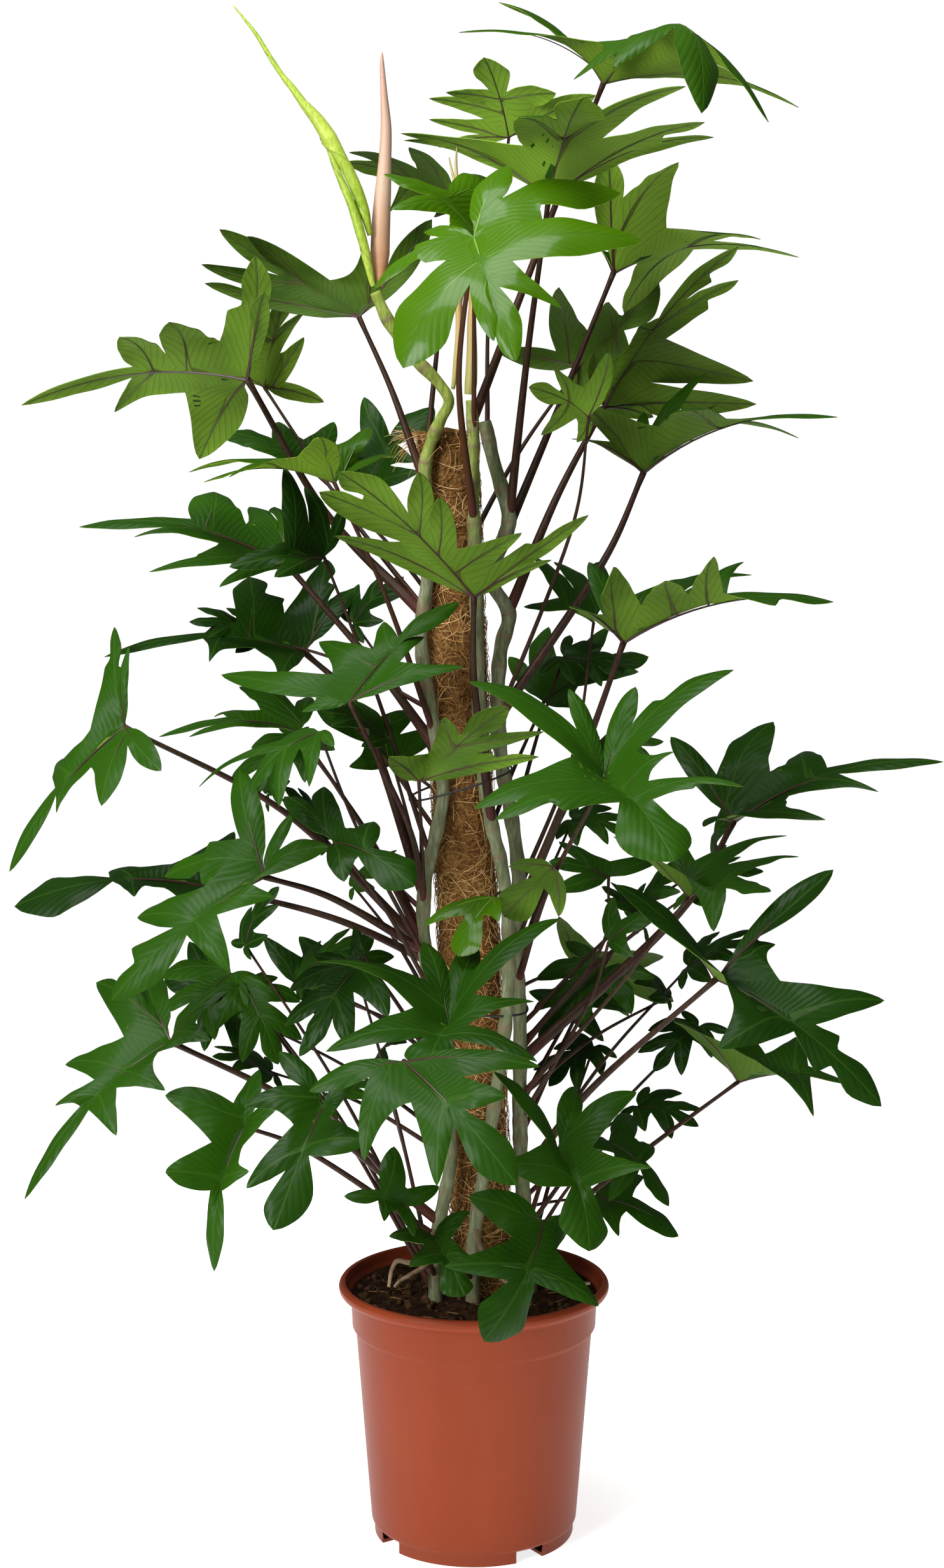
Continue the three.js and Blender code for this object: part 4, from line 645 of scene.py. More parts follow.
class Finish:
    """A material made of one principled shader."""

    def __init__(self, name, **surface):
        self.material = bpy.data.materials.new(name)
        self.material.use_nodes = True
        self.nodes = self.material.node_tree.nodes
        self.links = self.material.node_tree.links
        self.shader = self.nodes["Principled BSDF"]
        sockets = {"colour": "Base Color", "roughness": "Roughness", "shine": "Specular IOR Level",
                   "coat_roughness": "Coat Roughness", "glow": "Emission Strength"}
        for name, value in surface.items():
            self.shader.inputs[sockets[name]].default_value = value

    def node(self, kind, settings, values, output=0):
        """A node of a kind with its settings, then the values or wires of its sockets."""
        made = self.nodes.new(kind)
        for name, setting in settings.items():
            if name == "stops":
                self.fill_ramp(made.color_ramp, setting)
            else:
                setattr(made, name, setting)
        for name, value in values.items():
            if isinstance(value, Wire):
                self.links.new(value.socket, made.inputs[name])
            else:
                made.inputs[name].default_value = value
        return Wire(self, made.outputs[output])

    def fill_ramp(self, ramp, stops):
        while len(ramp.elements) < len(stops):
            ramp.elements.new(1)
        for element, (place, colour) in zip(ramp.elements, stops):
            element.position = place
            element.color = (*colour, 1)

    def parts(self, kind, whole, names):
        """The numbers that a colour or a vector is made of."""
        outputs = self.node(kind, {}, {0: whole}).socket.node.outputs
        return [Wire(self, outputs[name]) for name in names]

    def place(self):
        return self.node("ShaderNodeTexCoord", {}, {}, "Object")

    def height(self):
        return self.parts("ShaderNodeSeparateXYZ", self.place(), "Z")[0]

    def stretched(self, x, y, z):
        """The place, squeezed so that a pattern on it runs longer where the number is small."""
        return self.node("ShaderNodeVectorMath", {"operation": "MULTIPLY"},
                         {0: self.place(), 1: (x, y, z)})

    def run(self):
        """How far a point lies along its piece, and how far across it, in metres."""
        layout = self.node("ShaderNodeUVMap", {"uv_map": "run"}, {})
        return self.parts("ShaderNodeSeparateXYZ", layout, "XY")

    def paint(self):
        """The three numbers painted on the piece's points."""
        colour = self.node("ShaderNodeVertexColor", {"layer_name": "paint"}, {}, "Color")
        return self.parts("ShaderNodeSeparateColor", colour, ("Red", "Green", "Blue"))

    def grain(self, scale, detail=4, rough=0.5, at=None):
        return self.node("ShaderNodeTexNoise", {}, {
            "Vector": at or self.place(), "Scale": scale, "Detail": detail, "Roughness": rough})

    def cells(self, scale, **settings):
        return self.node("ShaderNodeTexVoronoi", settings, {"Vector": self.place(), "Scale": scale},
                         "Distance")

    def blend(self, share, first, second):
        """A colour that is the first at a share of 0 and the second at 1."""
        pair = [colour if isinstance(colour, Wire) else (*colour, 1) for colour in (first, second)]
        return self.node("ShaderNodeMix", {"data_type": "RGBA"}, {0: share, 6: pair[0], 7: pair[1]}, 2)

    def ramp(self, value, *stops):
        return self.node("ShaderNodeValToRGB", {"stops": stops}, {0: value})

    def feed(self, socket, wire):
        if wire:
            self.links.new(wire.socket, self.shader.inputs[socket])

    def done(self, colour, rough=None, height=None, depth=0.001, strength=1, coat=None):
        """The material, with what changes over its surface. Height makes bumps up to a depth in metres."""
        self.feed("Base Color", colour)
        self.feed("Roughness", rough)
        self.feed("Coat Weight", coat)
        if height:
            self.feed("Normal", self.node("ShaderNodeBump", {}, {
                "Height": height, "Distance": depth, "Strength": strength}))
        return self.material


# Sizes in the finishes are metres. Colours are linear.
VEINS = {"lean": 2.1, "spacing": 0.0155, "drift": 0.008, "drift_scale": 26, "ridge": 0.48,
         "clear_of_main": (0.0005, 0.002), "main": (0.0016, 0.0004)}
COLOURS = {
    "leaf_top": {"dark": (0.005, 0.025, 0.0008), "plain": (0.021, 0.08, 0.0018),
                 "vivid": (0.048, 0.13, 0.0003), "vein": (0.04, 0.11, 0.01)},
    # The undersides' plain green is their own paler green made lighter still: painted light for the light
    # that shines through the blade. Their dark green is where painted shade is laid on.
    "leaf_under": {"dark": (0.028, 0.068, 0.004), "plain": (0.205, 0.37, 0.03),
                   "vivid": (0.3, 0.5, 0.03), "vein": (0.045, 0.042, 0.008)},
    "leaf_rib": {"red": (0.05, 0.014, 0.014), "brown": (0.05, 0.028, 0.014), "olive": (0.06, 0.09, 0.02),
                 "green": (0.08, 0.17, 0.03), "vivid": (0.16, 0.3, 0.04)},
    "stalk": {"dark": (0.016, 0.005, 0.005), "brown": (0.036, 0.011, 0.009), "tan": (0.06, 0.022, 0.013),
              "olive": (0.045, 0.06, 0.018), "new": (0.1, 0.036, 0.013), "foot": (0.09, 0.025, 0.02),
              "speck": (0.12, 0.08, 0.05)},
    "vine": {"dark": (0.06, 0.08, 0.03), "grey": (0.16, 0.18, 0.09), "pale": (0.36, 0.38, 0.24),
             "new_dark": (0.14, 0.19, 0.02), "new_pale": (0.36, 0.44, 0.07), "scar": (0.2, 0.14, 0.08)},
    "root": {"dark": (0.1, 0.06, 0.03), "brown": (0.26, 0.18, 0.1), "pale": (0.4, 0.31, 0.2)},
    "coir": {"dark": (0.045, 0.016, 0.004), "brown": (0.28, 0.115, 0.028), "gold": (0.72, 0.4, 0.13),
             "strand": (0.75, 0.44, 0.16)},
    "fibre": {"dark": (0.16, 0.06, 0.014), "brown": (0.5, 0.24, 0.065), "gold": (0.95, 0.66, 0.3)},
    "soil": {"black": (0.006, 0.0025, 0.001), "dark": (0.03, 0.013, 0.005), "brown": (0.085, 0.04, 0.016),
             "fleck": (0.2, 0.11, 0.045)},
    "bits": {"dark": (0.014, 0.006, 0.002), "brown": (0.07, 0.033, 0.013), "pale": (0.26, 0.15, 0.065)},
    "pot": {"deep": (0.215, 0.034, 0.01), "plain": (0.255, 0.044, 0.0135), "speck": (0.17, 0.03, 0.012),
            "scuff": (0.45, 0.17, 0.1), "dust": (0.16, 0.05, 0.03)},
    "wire": {"black": (0.006, 0.006, 0.006), "grey": (0.03, 0.03, 0.03)},
    "wood": {"brown": (0.2, 0.11, 0.05), "pale": (0.42, 0.27, 0.14)},
    "rolled_leaf": {"green": (0.22, 0.36, 0.012), "yellow": (0.5, 0.62, 0.09), "edge": (0.12, 0.25, 0.02)},
    "pink_sheath": {"foot": (0.45, 0.2, 0.075), "middle": (0.56, 0.38, 0.27), "top": (0.5, 0.3, 0.22)},
    "cream_sheath": {"foot": (0.36, 0.36, 0.1), "middle": (0.62, 0.36, 0.15), "top": (0.55, 0.5, 0.24)},
    "sheath_line": (0.3, 0.12, 0.06),
    "floor": (0.9, 0.9, 0.9),
}


def leaf_veins(finish, width):
    """The side veins that leave a lobe's own vein forward and outward, that vein, and the ridged
    blade between the side veins."""
    along, across = finish.run()
    off = abs(across)
    drift = finish.grain(VEINS["drift_scale"], 2) * VEINS["drift"]
    way = along - off * VEINS["lean"] + drift
    near = off.step(*VEINS["clear_of_main"])
    side = way.lines(VEINS["spacing"], width, width * 1.2) * near
    ridge = way.lines(VEINS["spacing"], 0, VEINS["spacing"] * VEINS["ridge"]) * near
    return side, off.step(*VEINS["main"]), ridge


def leaf_colour(finish, shade, youth, tint, side, main):
    """The blade between its dark and its plain green, a vivid one where it is new, and its veins."""
    colour = finish.blend(shade, tint["dark"], tint["plain"])
    colour = finish.blend(youth, colour, tint["vivid"])
    colour = finish.blend(side, colour, tint["vein"])
    return finish.blend(main, colour, tint["vein"])


def leaf_top():
    finish = Finish("leaf_top", shine=0.11, coat_roughness=0.13)
    spread, youth, _ = finish.paint()
    side, main, ridge = leaf_veins(finish, 0.0005)
    broad = finish.grain(9, 3)
    shade = (broad * 0.7 + spread * 0.6 - 0.15).step(0, 1)
    colour = leaf_colour(finish, shade, youth, COLOURS["leaf_top"], side * 0.1, main * 0.35)
    rough = 0.34 + 0.14 * broad - 0.04 * youth
    height = -0.5 * ridge - 0.4 * side - 0.9 * main
    return finish.done(colour, rough, height, depth=0.0008, strength=0.55, coat=youth * 0.14 + 0.03)


def leaf_under():
    finish = Finish("leaf_under", shine=0.1)
    # The third paint number is painted light and shade on the underside, partly a tone drawn at random.
    # With the noise it moves the colour from the dark green to the plain one.
    _, youth, spread = finish.paint()
    side, main, ridge = leaf_veins(finish, 0.0007)
    broad = finish.grain(9, 3)
    shade = (broad * 0.8 + spread * 0.6 - 0.2).step(0, 1)
    colour = leaf_colour(finish, shade, youth, COLOURS["leaf_under"], side * 0.4, main * 0.7)
    return finish.done(colour, 0.5 + 0.1 * broad, side + 0.5 * ridge, depth=0.0006, strength=0.45)


def leaf_rib():
    """Red-brown near the knee and green toward the tips."""
    finish = Finish("leaf_rib", roughness=0.42)
    tint = COLOURS["leaf_rib"]
    greening, youth, _ = finish.paint()
    mottle = finish.grain(160, 3)
    colour = finish.ramp((greening + mottle * 0.2 - 0.1).step(0, 1),
                         (0, tint["red"]), (0.35, tint["brown"]), (0.75, tint["olive"]), (1, tint["green"]))
    colour = finish.blend(youth, colour, tint["vivid"])
    return finish.done(colour, None, mottle, depth=0.0004, strength=0.4)


def stalk_skin():
    finish = Finish("stalk_skin", shine=0.14)
    tint = COLOURS["stalk"]
    green, youth, base = finish.paint()
    streak = finish.grain(90, 4, at=finish.stretched(4, 4, 1))
    speck = finish.cells(700).step(0.32, 0.2)
    colour = finish.ramp(streak, (0.25, tint["dark"]), (0.5, tint["brown"]), (0.75, tint["tan"]))
    colour = finish.blend(green * 0.3, colour, tint["olive"])
    colour = finish.blend(youth, colour, tint["new"])
    colour = finish.blend(base, colour, tint["foot"])
    colour = finish.blend(speck * 0.2, colour, tint["speck"])
    rough = 0.34 + 0.15 * streak
    return finish.done(colour, rough, streak, depth=0.0005, strength=0.3)


def vine_bark():
    finish = Finish("vine_bark", shine=0.25)
    tint = COLOURS["vine"]
    scar, youth, _ = finish.paint()
    streak = finish.grain(60, 5, 0.6, at=finish.stretched(5, 5, 1))
    patch = finish.grain(22, 3)
    old = finish.ramp(streak * 0.6 + patch * 0.4,
                      (0.3, tint["dark"]), (0.5, tint["grey"]), (0.7, tint["pale"]))
    new = finish.ramp(streak, (0.3, tint["new_dark"]), (0.7, tint["new_pale"]))
    colour = finish.blend(youth, old, new)
    colour = finish.blend(scar * 0.8, colour, tint["scar"])
    rough = 0.5 + 0.2 * streak
    return finish.done(colour, rough, streak + 0.6 * scar, depth=0.001, strength=0.5)


def root_bark():
    finish = Finish("root_bark")
    tint = COLOURS["root"]
    streak = finish.grain(120, 5, 0.65)
    colour = finish.ramp(streak, (0.3, tint["dark"]), (0.6, tint["brown"]), (0.8, tint["pale"]))
    return finish.done(colour, 0.7 + 0.15 * streak, streak, depth=0.001, strength=0.7)


def coir_mat():
    finish = Finish("coir_mat", shine=0.1)
    tint = COLOURS["coir"]
    tangle = finish.grain(260, 8, 0.72)
    strand = finish.cells(420, feature="DISTANCE_TO_EDGE").step(0.14, 0.02)
    patch = finish.grain(24, 3)
    colour = finish.ramp(tangle * 0.7 + patch * 0.3,
                         (0.38, tint["dark"]), (0.5, tint["brown"]), (0.62, tint["gold"]))
    colour = finish.blend(strand * 0.4, colour, tint["strand"])
    return finish.done(colour, 0.85 + 0.1 * tangle, tangle + 0.6 * strand, depth=0.004)


def coir_thread():
    finish = Finish("coir_thread", shine=0.2)
    tint = COLOURS["fibre"]
    lightness, _, _ = finish.paint()
    streak = finish.grain(400, 2)
    colour = finish.ramp(lightness * 0.8 + streak * 0.2,
                         (0.1, tint["dark"]), (0.5, tint["brown"]), (0.9, tint["gold"]))
    return finish.done(colour, 0.6 + 0.2 * streak)


def dark_soil():
    finish = Finish("dark_soil", shine=0.1)
    tint = COLOURS["soil"]
    crumb = finish.grain(240, 8, 0.7)
    lump = finish.cells(130)
    fleck = finish.cells(330).step(0.16, 0.08)
    colour = finish.ramp(crumb * 0.7 + lump * 0.3,
                         (0.25, tint["black"]), (0.5, tint["dark"]), (0.75, tint["brown"]))
    colour = finish.blend(fleck * 0.3, colour, tint["fleck"])
    return finish.done(colour, 0.9 + 0.08 * crumb, crumb + 0.5 * lump, depth=0.005)


def bark_bits():
    finish = Finish("bark_bits", shine=0.15)
    tint = COLOURS["bits"]
    lightness, _, _ = finish.paint()
    grain = finish.grain(300, 4)
    colour = finish.ramp(lightness * 0.7 + grain * 0.3,
                         (0.15, tint["dark"]), (0.5, tint["brown"]), (0.9, tint["pale"]))
    return finish.done(colour, 0.8 + 0.1 * grain, grain, depth=0.001, strength=0.8)


def pot_plastic():
    """Terracotta-coloured plastic with fine specks, pale scuffs and a little dust near its foot."""
    finish = Finish("pot_plastic", shine=0.13)
    tint = COLOURS["pot"]
    dust = finish.height().step(0.03, 0.0) * 0.25
    speck = finish.grain(1400, 3)
    smear = finish.grain(7, 3, at=finish.stretched(1, 1, 0.4))
    scuff = finish.grain(46, 6, 0.7, at=finish.stretched(1, 1, 3)).step(0.62, 0.78)
    colour = finish.ramp(smear, (0.35, tint["deep"]), (0.65, tint["plain"]))
    colour = finish.blend(speck * 0.12, colour, tint["speck"])
    colour = finish.blend(scuff * 0.12, colour, tint["scuff"])
    colour = finish.blend(dust, colour, tint["dust"])
    rough = 0.36 + 0.1 * speck + 0.12 * scuff
    return finish.done(colour, rough, speck, depth=0.0003, strength=0.35)


def black_wire():
    finish = Finish("black_wire")
    scuff = finish.grain(300, 3)
    colour = finish.ramp(scuff, (0.4, COLOURS["wire"]["black"]), (0.8, COLOURS["wire"]["grey"]))
    return finish.done(colour, 0.38 + 0.2 * scuff, scuff, depth=0.0004, strength=0.3)


def stake_wood():
    finish = Finish("stake_wood")
    grain = finish.grain(70, 6, 0.6, at=finish.stretched(1, 1, 0.06))
    colour = finish.ramp(grain, (0.3, COLOURS["wood"]["brown"]), (0.7, COLOURS["wood"]["pale"]))
    return finish.done(colour, 0.65 + 0.15 * grain, grain, depth=0.001, strength=0.5)


def rolled_leaf():
    """Yellow-green, with the leaf's edge as a dark line that winds round it."""
    finish = Finish("rolled_leaf")
    tint = COLOURS["rolled_leaf"]
    along, around = finish.run()
    edge = (along + around * 2.2).lines(0.075, 0.0006, 0.003)
    streak = finish.grain(160, 4, at=finish.stretched(3, 3, 1))
    patch = finish.grain(14, 2)
    colour = finish.ramp(streak * 0.5 + patch * 0.5, (0.36, tint["green"]), (0.64, tint["yellow"]))
    colour = finish.blend(edge * 0.5, colour, tint["edge"])
    return finish.done(colour, 0.32 + 0.12 * streak, 0.2 * streak - edge, depth=0.001, strength=0.4)


def sheath_skin(shoot):
    """A sheath whose colour changes with height from its foot to its top."""
    finish = Finish(shoot["slot"])
    tint = COLOURS[shoot["slot"]]
    foot, top = shoot["span"]
    streak = finish.grain(300, 4, at=finish.stretched(4, 4, 1))
    share = (finish.height() - foot * MM) / ((top - foot) * MM) + 0.16 * streak - 0.08
    colour = finish.ramp(share, (0, tint["foot"]), (0.4, tint["middle"]), (1, tint["top"]))
    line = streak.step(0.62, 0.7)
    colour = finish.blend(line * 0.3, colour, COLOURS["sheath_line"])
    return finish.done(colour, 0.38 + 0.2 * streak, streak, depth=0.0006, strength=0.5)


def pale_floor():
    """White, with a glow of its own that grows away from the pot, so that only the shadow near it shows."""
    finish = Finish("pale_floor", colour=(*COLOURS["floor"], 1), roughness=0.9, shine=0, glow=1)
    away = finish.node("ShaderNodeVectorMath", {"operation": "LENGTH"}, {0: finish.place()}, 1)
    near, far = FLOOR["glow"]
    glow = finish.blend(away.step(FLOOR["near"], FLOOR["far"]), (near,) * 3, (far,) * 3)
    finish.feed("Emission Color", glow)
    return finish.material


# Leaf blades.

def slide(start, end, lift, share):
    """A point on the arched way from start to end, and its direction there."""
    control = (start + end) / 2 + lift
    back = 1 - share
    point = start * back * back + control * 2 * share * back + end * share * share
    ahead = (control - start) * back + (end - control) * share
    return point, ahead.normalized()


def leaf_frame(leaf):
    """The knee, the tip and the length of a leaf, and the way that its upper face looks."""
    knee, tip = seen(leaf["knee"]), seen(leaf["tip"])
    hind = [(seen(leaf[side][-1]) - knee).normalized() for side in ("left", "right")]
    up = (tip - knee).cross(hind[0] - hind[1]).normalized()
    return {"knee": knee, "tip": tip, "up": up, "length": (tip - knee).length}


def rib_of(leaf, shape, rib):
    """The end of a rib and how high it arches."""
    if rib == "midrib":
        return shape["tip"], shape["up"] * leaf.get("arch", BLADE["arch"]) * shape["length"]
    end = seen(leaf[rib][-1])
    return end, shape["up"] * BLADE["arch"] * (end - shape["knee"]).length


def width_of(place, usual):
    """The fourth number of a lobe's tip, or what is usual."""
    return place[3] if len(place) > 3 else usual


def side_lobes(leaf, shape, side):
    """The lobes of one side. The hind one continues its own rib, on which the one before it may stand."""
    places = leaf[side]
    hand = 1 if side == "left" else -1
    lobes = []
    for i, place in enumerate(places):
        last = i == len(places) - 1
        on_hind = len(places) >= 3 and i == len(places) - 2
        rib = side if last or on_hind else "midrib"
        stop = BLADE["hind_stops"][1 if last else 0] if last or on_hind else BLADE["midrib_stops"][i]
        rib_end, rib_lift = rib_of(leaf, shape, rib)
        foot = slide(shape["knee"], rib_end, rib_lift, stop)[0]
        tip = seen(place)
        length = (tip - foot).length
        outward = shape["up"].cross(tip - foot).normalized() * hand
        lift = shape["up"] * BLADE["arch"] * length + outward * BLADE["bow"] * length
        way = (shape["knee"], rib_end, rib_lift, stop) if last else (foot, tip, lift, 0)
        half = width_of(place, BLADE["side_width"]) * length
        lobes.append({"way": way, "foot": foot, "stop": stop, "rib": rib, "half": half})
    return lobes


def leaf_lobes(leaf, shape):
    """The lobes of a leaf from the hind one on the right, round the tip, to the hind one on the left."""
    end, lift = rib_of(leaf, shape, "midrib")
    stop = BLADE["midrib_stops"][0]
    front = {"way": (shape["knee"], end, lift, stop), "stop": stop, "rib": "midrib",
             "foot": slide(shape["knee"], end, lift, stop)[0],
             "half": width_of(leaf["tip"], BLADE["tip_width"]) * shape["length"]}
    return [*side_lobes(leaf, shape, "right")[::-1], front, *side_lobes(leaf, shape, "left")]


def lobe_at(lobe, share):
    start, end, lift, begin = lobe["way"]
    return slide(start, end, lift, begin + (1 - begin) * share)


def full_width(lobe, share):
    """Half the width of a lobe that no neighbour crowds, at a share of its length."""
    return lobe["half"] * max(math.sin(math.pi * share ** BLADE["crest"]), 0) ** BLADE["round"]


def lobe_width(lobe, neighbour, share):
    """Half the width of a lobe at a share of its length, softly kept under its neighbour's room."""
    wide = full_width(lobe, share)
    if not neighbour or wide <= 0:
        return wide
    room = (lobe_at(lobe, share)[0] - lobe_at(neighbour, share)[0]).length
    limit = max(BLADE["crowding"] * room, BLADE["least_room"])
    return (wide ** -6 + limit ** -6) ** (-1 / 6)


def parting(here, there):
    """The share of their lengths at which the outlines of two lobes part."""
    for share in BLADE["partings"]:
        gap = (lobe_at(here, share)[0] - lobe_at(there, share)[0]).length
        if gap < BLADE["touching"] * (full_width(here, share) + full_width(there, share)):
            return share
    return BLADE["partings"][-1]


def draw_thumbs(lobe, draw):
    """A thumb or None for the left and the right edge of a lobe."""
    thumbs = {}
    length = (lobe_at(lobe, 1)[0] - lobe["foot"]).length
    for hand in (-1, 1):
        roll, at, depth = draw.random(), draw.uniform(*THUMB["at"]), draw.uniform(*THUMB["depth"])
        wanted = roll < THUMB["chance"] and length > THUMB["least_length"]
        thumbs[hand] = {"at": at, "depth": depth} if wanted else None
    return thumbs


def thumb_swell(thumb, share):
    """How much wider or narrower a thumb and its notch make a lobe's edge."""
    if not thumb:
        return 1
    past = share - thumb["at"]
    swell = 1 + THUMB["swell"] * smooth(-THUMB["rise"], 0, past)
    notch = smooth(0, THUMB["drop"], past) * (1 - smooth(THUMB["drop"], THUMB["recover"], past))
    return mix(swell, 1, smooth(0, THUMB["drop"], past)) - thumb["depth"] * notch


def edge_shares(thumbs):
    """Where a lobe has rows past its web: evenly, and close together at its notches."""
    drop = THUMB["drop"]
    close = [thumb["at"] + drop * part for thumb in thumbs.values() if thumb for part in THUMB["rows"]]
    even = [j / BLADE["edge_rows"] for j in range(1, BLADE["edge_rows"] + 1)]
    even = [share for share in even if share == 1 or all(abs(share - other) > drop / 2 for other in close)]
    return sorted(even + close)


def rib_cells(lobes):
    """For each rib, the stops where a lobe starts or two lobes meet, from the knee outward."""
    cells = {"midrib": {0}, "left": {0}, "right": {0}}
    for lobe, following in zip(lobes, [*lobes[1:], None]):
        cells[lobe["rib"]].add(lobe["stop"])
        if following and following["rib"] == lobe["rib"]:
            cells[lobe["rib"]].add((lobe["stop"] + following["stop"]) / 2)
    return {rib: sorted(stops) for rib, stops in cells.items()}


def rib_row(cells, start, end):
    """Stops along a rib from start to end, a few in each cell, alike from both sides of the rib."""
    low, high = min(start, end), max(start, end)
    stops = [stop for stop in cells if low <= stop <= high]
    count = BLADE["cell_columns"]
    row = [mix(a, b, k / count) for a, b in zip(stops, stops[1:]) for k in range(count)] + [high]
    return row if start < end else row[::-1]


def rib_places(leaf, shape, lobe, cells, stop):
    """Places along a lobe's rib, from where the lobe stands to the stop where its border starts."""
    end, lift = rib_of(leaf, shape, lobe["rib"])
    stops = rib_row(cells, lobe["stop"], stop)
    if len(stops) < 2:
        stops = [stop] * (BLADE["columns"] + 1)
    return [slide(shape["knee"], end, lift, s)[0] for s in stops]


def lobe_border(lobes, i, hand, shape):
    """Where lobe i ends on one hand: its neighbour there, the stop where their border leaves the rib, the
    share of their lengths at which they part, and the corner where their edges meet. The outermost lobes
    end in a hem beside the stalk."""
    if not 0 <= i + hand < len(lobes):
        side = shape["up"].cross(lobe_at(lobes[i], 0)[1]).normalized()
        corner = lobes[i]["foot"].lerp(shape["knee"], 0.5) + side * hand * BLADE["hem"]
        return {"neighbour": None, "stop": 0, "web": 0, "corner": corner}
    here, there = lobes[min(i, i + hand)], lobes[max(i, i + hand)]
    web = parting(here, there)
    return {"neighbour": lobes[i + hand], "web": web,
            "stop": (here["stop"] + there["stop"]) / 2 if here["rib"] == there["rib"] else 0,
            "corner": lobe_at(here, web)[0].lerp(lobe_at(there, web)[0], 0.5)}


def lobe_edge(lobe, half, share, up):
    """A place on a lobe's edge: it leaves the web between two lobes and runs to the lobe's tip."""
    def place(s, swell=1):
        point, ahead = lobe_at(lobe, s)
        normal = square_to(up, ahead)
        width = lobe_width(lobe, half["neighbour"], s) * swell
        return point + normal.cross(ahead) * half["hand"] * width - normal * BLADE["fold"] * width

    web = half["web"]
    drift = (half["corner"] - place(web)) * (1 - share) ** 3
    return place(web + (1 - web) * share, thumb_swell(half["thumb"], share)) + drift


def half_lobe(lobe, half, base, mean_web, shares, up):
    """Rows of points across one half of a lobe, from its rib through its web to its tip, and how far each
    point lies off the lobe's own vein."""
    columns = len(base) - 1
    rows = [(base, [0] * len(base))]
    on_web = [((j + 1) / BLADE["web_rows"], 0) for j in range(BLADE["web_rows"])]
    for web_share, share in [*on_web, *((1, share) for share in shares)]:
        s = mix(mean_web, 1, share) if share else mean_web * web_share
        centre, ahead = lobe_at(lobe, s)
        normal = square_to(up, ahead)
        rim = lobe_edge(lobe, half, share, up) if share else base[-1].lerp(half["corner"], web_share)
        wide = (rim - centre).length
        wave = BLADE["wave"] * wide * math.sin(math.pi * share)
        wave *= math.sin(math.tau * half["pace"] * share + half["phase"])
        row, off = [], []
        for k in range(columns + 1):
            t = k / columns
            lift = BLADE["bulge"] * wide * 4 * t * (1 - t) * smooth(0, BLADE["bulge_from"], share)
            row.append(centre.lerp(rim, t) + normal * (lift + wave * t * t))
            off.append(wide * t * half["hand"])
        rows.append((row, off))
    return rows


class Sheet:
    """The middle sheet of a blade: welded points, faces seen from above, and each corner's place along
    and across its lobe."""

    def __init__(self):
        self.points = []
        self.faces = []
        self.marks = []
        self.index = {}

    def number(self, point):
        """The number of a point. Points at one place share theirs."""
        key = tuple(round(value, 3) for value in point)
        if key not in self.index:
            self.index[key] = len(self.points)
            self.points.append(point)
        return self.index[key]

    def add_rows(self, rows, lobe, hand):
        axis = (lobe_at(lobe, 1)[0] - lobe["foot"]).normalized()
        for (low, low_off), (high, high_off) in zip(rows, rows[1:]):
            for k in range(len(low) - 1):
                face = [low[k], high[k], high[k + 1], low[k + 1]]
                across = [low_off[k], high_off[k], high_off[k + 1], low_off[k + 1]]
                mark = [((point - lobe["foot"]).dot(axis), off) for point, off in zip(face, across)]
                if hand < 0:
                    face, mark = face[::-1], mark[::-1]
                self.add_face([self.number(point) for point in face], mark)

    def add_face(self, face, mark):
        """Corners that lie on the one before are left out, and so is a face of two corners."""
        kept = [n for n in range(4) if face[n] != face[n - 1]]
        if len(kept) > 2:
            self.faces.append([face[n] for n in kept])
            self.marks.append([mark[n] for n in kept])


def blade_sheet(leaf, draw):
    """The sheet of a blade, with its frame and its lobes."""
    shape = leaf_frame(leaf)
    lobes = leaf_lobes(leaf, shape)
    cells = rib_cells(lobes)
    sheet = Sheet()
    for i, lobe in enumerate(lobes):
        thumbs = draw_thumbs(lobe, draw)
        shares = edge_shares(thumbs)
        halves = [{"hand": hand, "thumb": thumbs[hand], **lobe_border(lobes, i, hand, shape)}
                  for hand in (-1, 1)]
        mean_web = (halves[0]["web"] + halves[1]["web"]) / 2
        for half in halves:
            half["phase"] = draw.uniform(0, math.tau)
            half["pace"] = draw.uniform(*BLADE["wave_pace"])
            base = rib_places(leaf, shape, lobe, cells[lobe["rib"]], half["stop"])
            rows = half_lobe(lobe, half, base, mean_web, shares, shape["up"])
            sheet.add_rows(rows, lobe, half["hand"])
    sheet.points = relaxed(sheet.points, sheet.faces)
    return sheet, shape, lobes


def relaxed(points, faces):
    """The points moved a little toward their neighbours, apart from those on the outline."""
    sides = {}
    for face in faces:
        for a, b in zip(face, [*face[1:], face[0]]):
            sides[frozenset((a, b))] = sides.get(frozenset((a, b)), 0) + 1
    near = [[] for _ in points]
    fixed = set()
    for side, uses in sides.items():
        a, b = side
        near[a].append(b)
        near[b].append(a)
        if uses == 1:
            fixed |= side
    for _ in range(BLADE["smoothings"]):
        points = [point if i in fixed else
                  point.lerp(sum((points[n] for n in near[i]), Vector()) / len(near[i]), 0.5)
                  for i, point in enumerate(points)]
    return points


def point_normals(points, faces):
    normals = [Vector() for _ in points]
    for face in faces:
        a, b, c = (points[face[n]] for n in (0, 1, -1))
        turn = (b - a).cross(c - a)
        for i in face:
            normals[i] += turn
    return [normal.normalized() for normal in normals]


def blade_rim(sheet):
    """Faces that join the upper and the under side along the outline. The under side's points follow the
    upper side's, as many of them."""
    count = len(sheet.points)
    sides = {}
    for face, mark in zip(sheet.faces, sheet.marks):
        for k, point in enumerate(face):
            sides[(face[k - 1], point)] = (mark[k - 1], mark[k])
    outline = {side: marks for side, marks in sides.items() if side[::-1] not in sides}
    faces = [[b, a, a + count, b + count] for a, b in outline]
    return faces, [[mark_b, mark_a, mark_a, mark_b] for mark_a, mark_b in outline.values()]


# The places of a leaf's three finishes.
TOP, UNDER, RIBS = range(3)


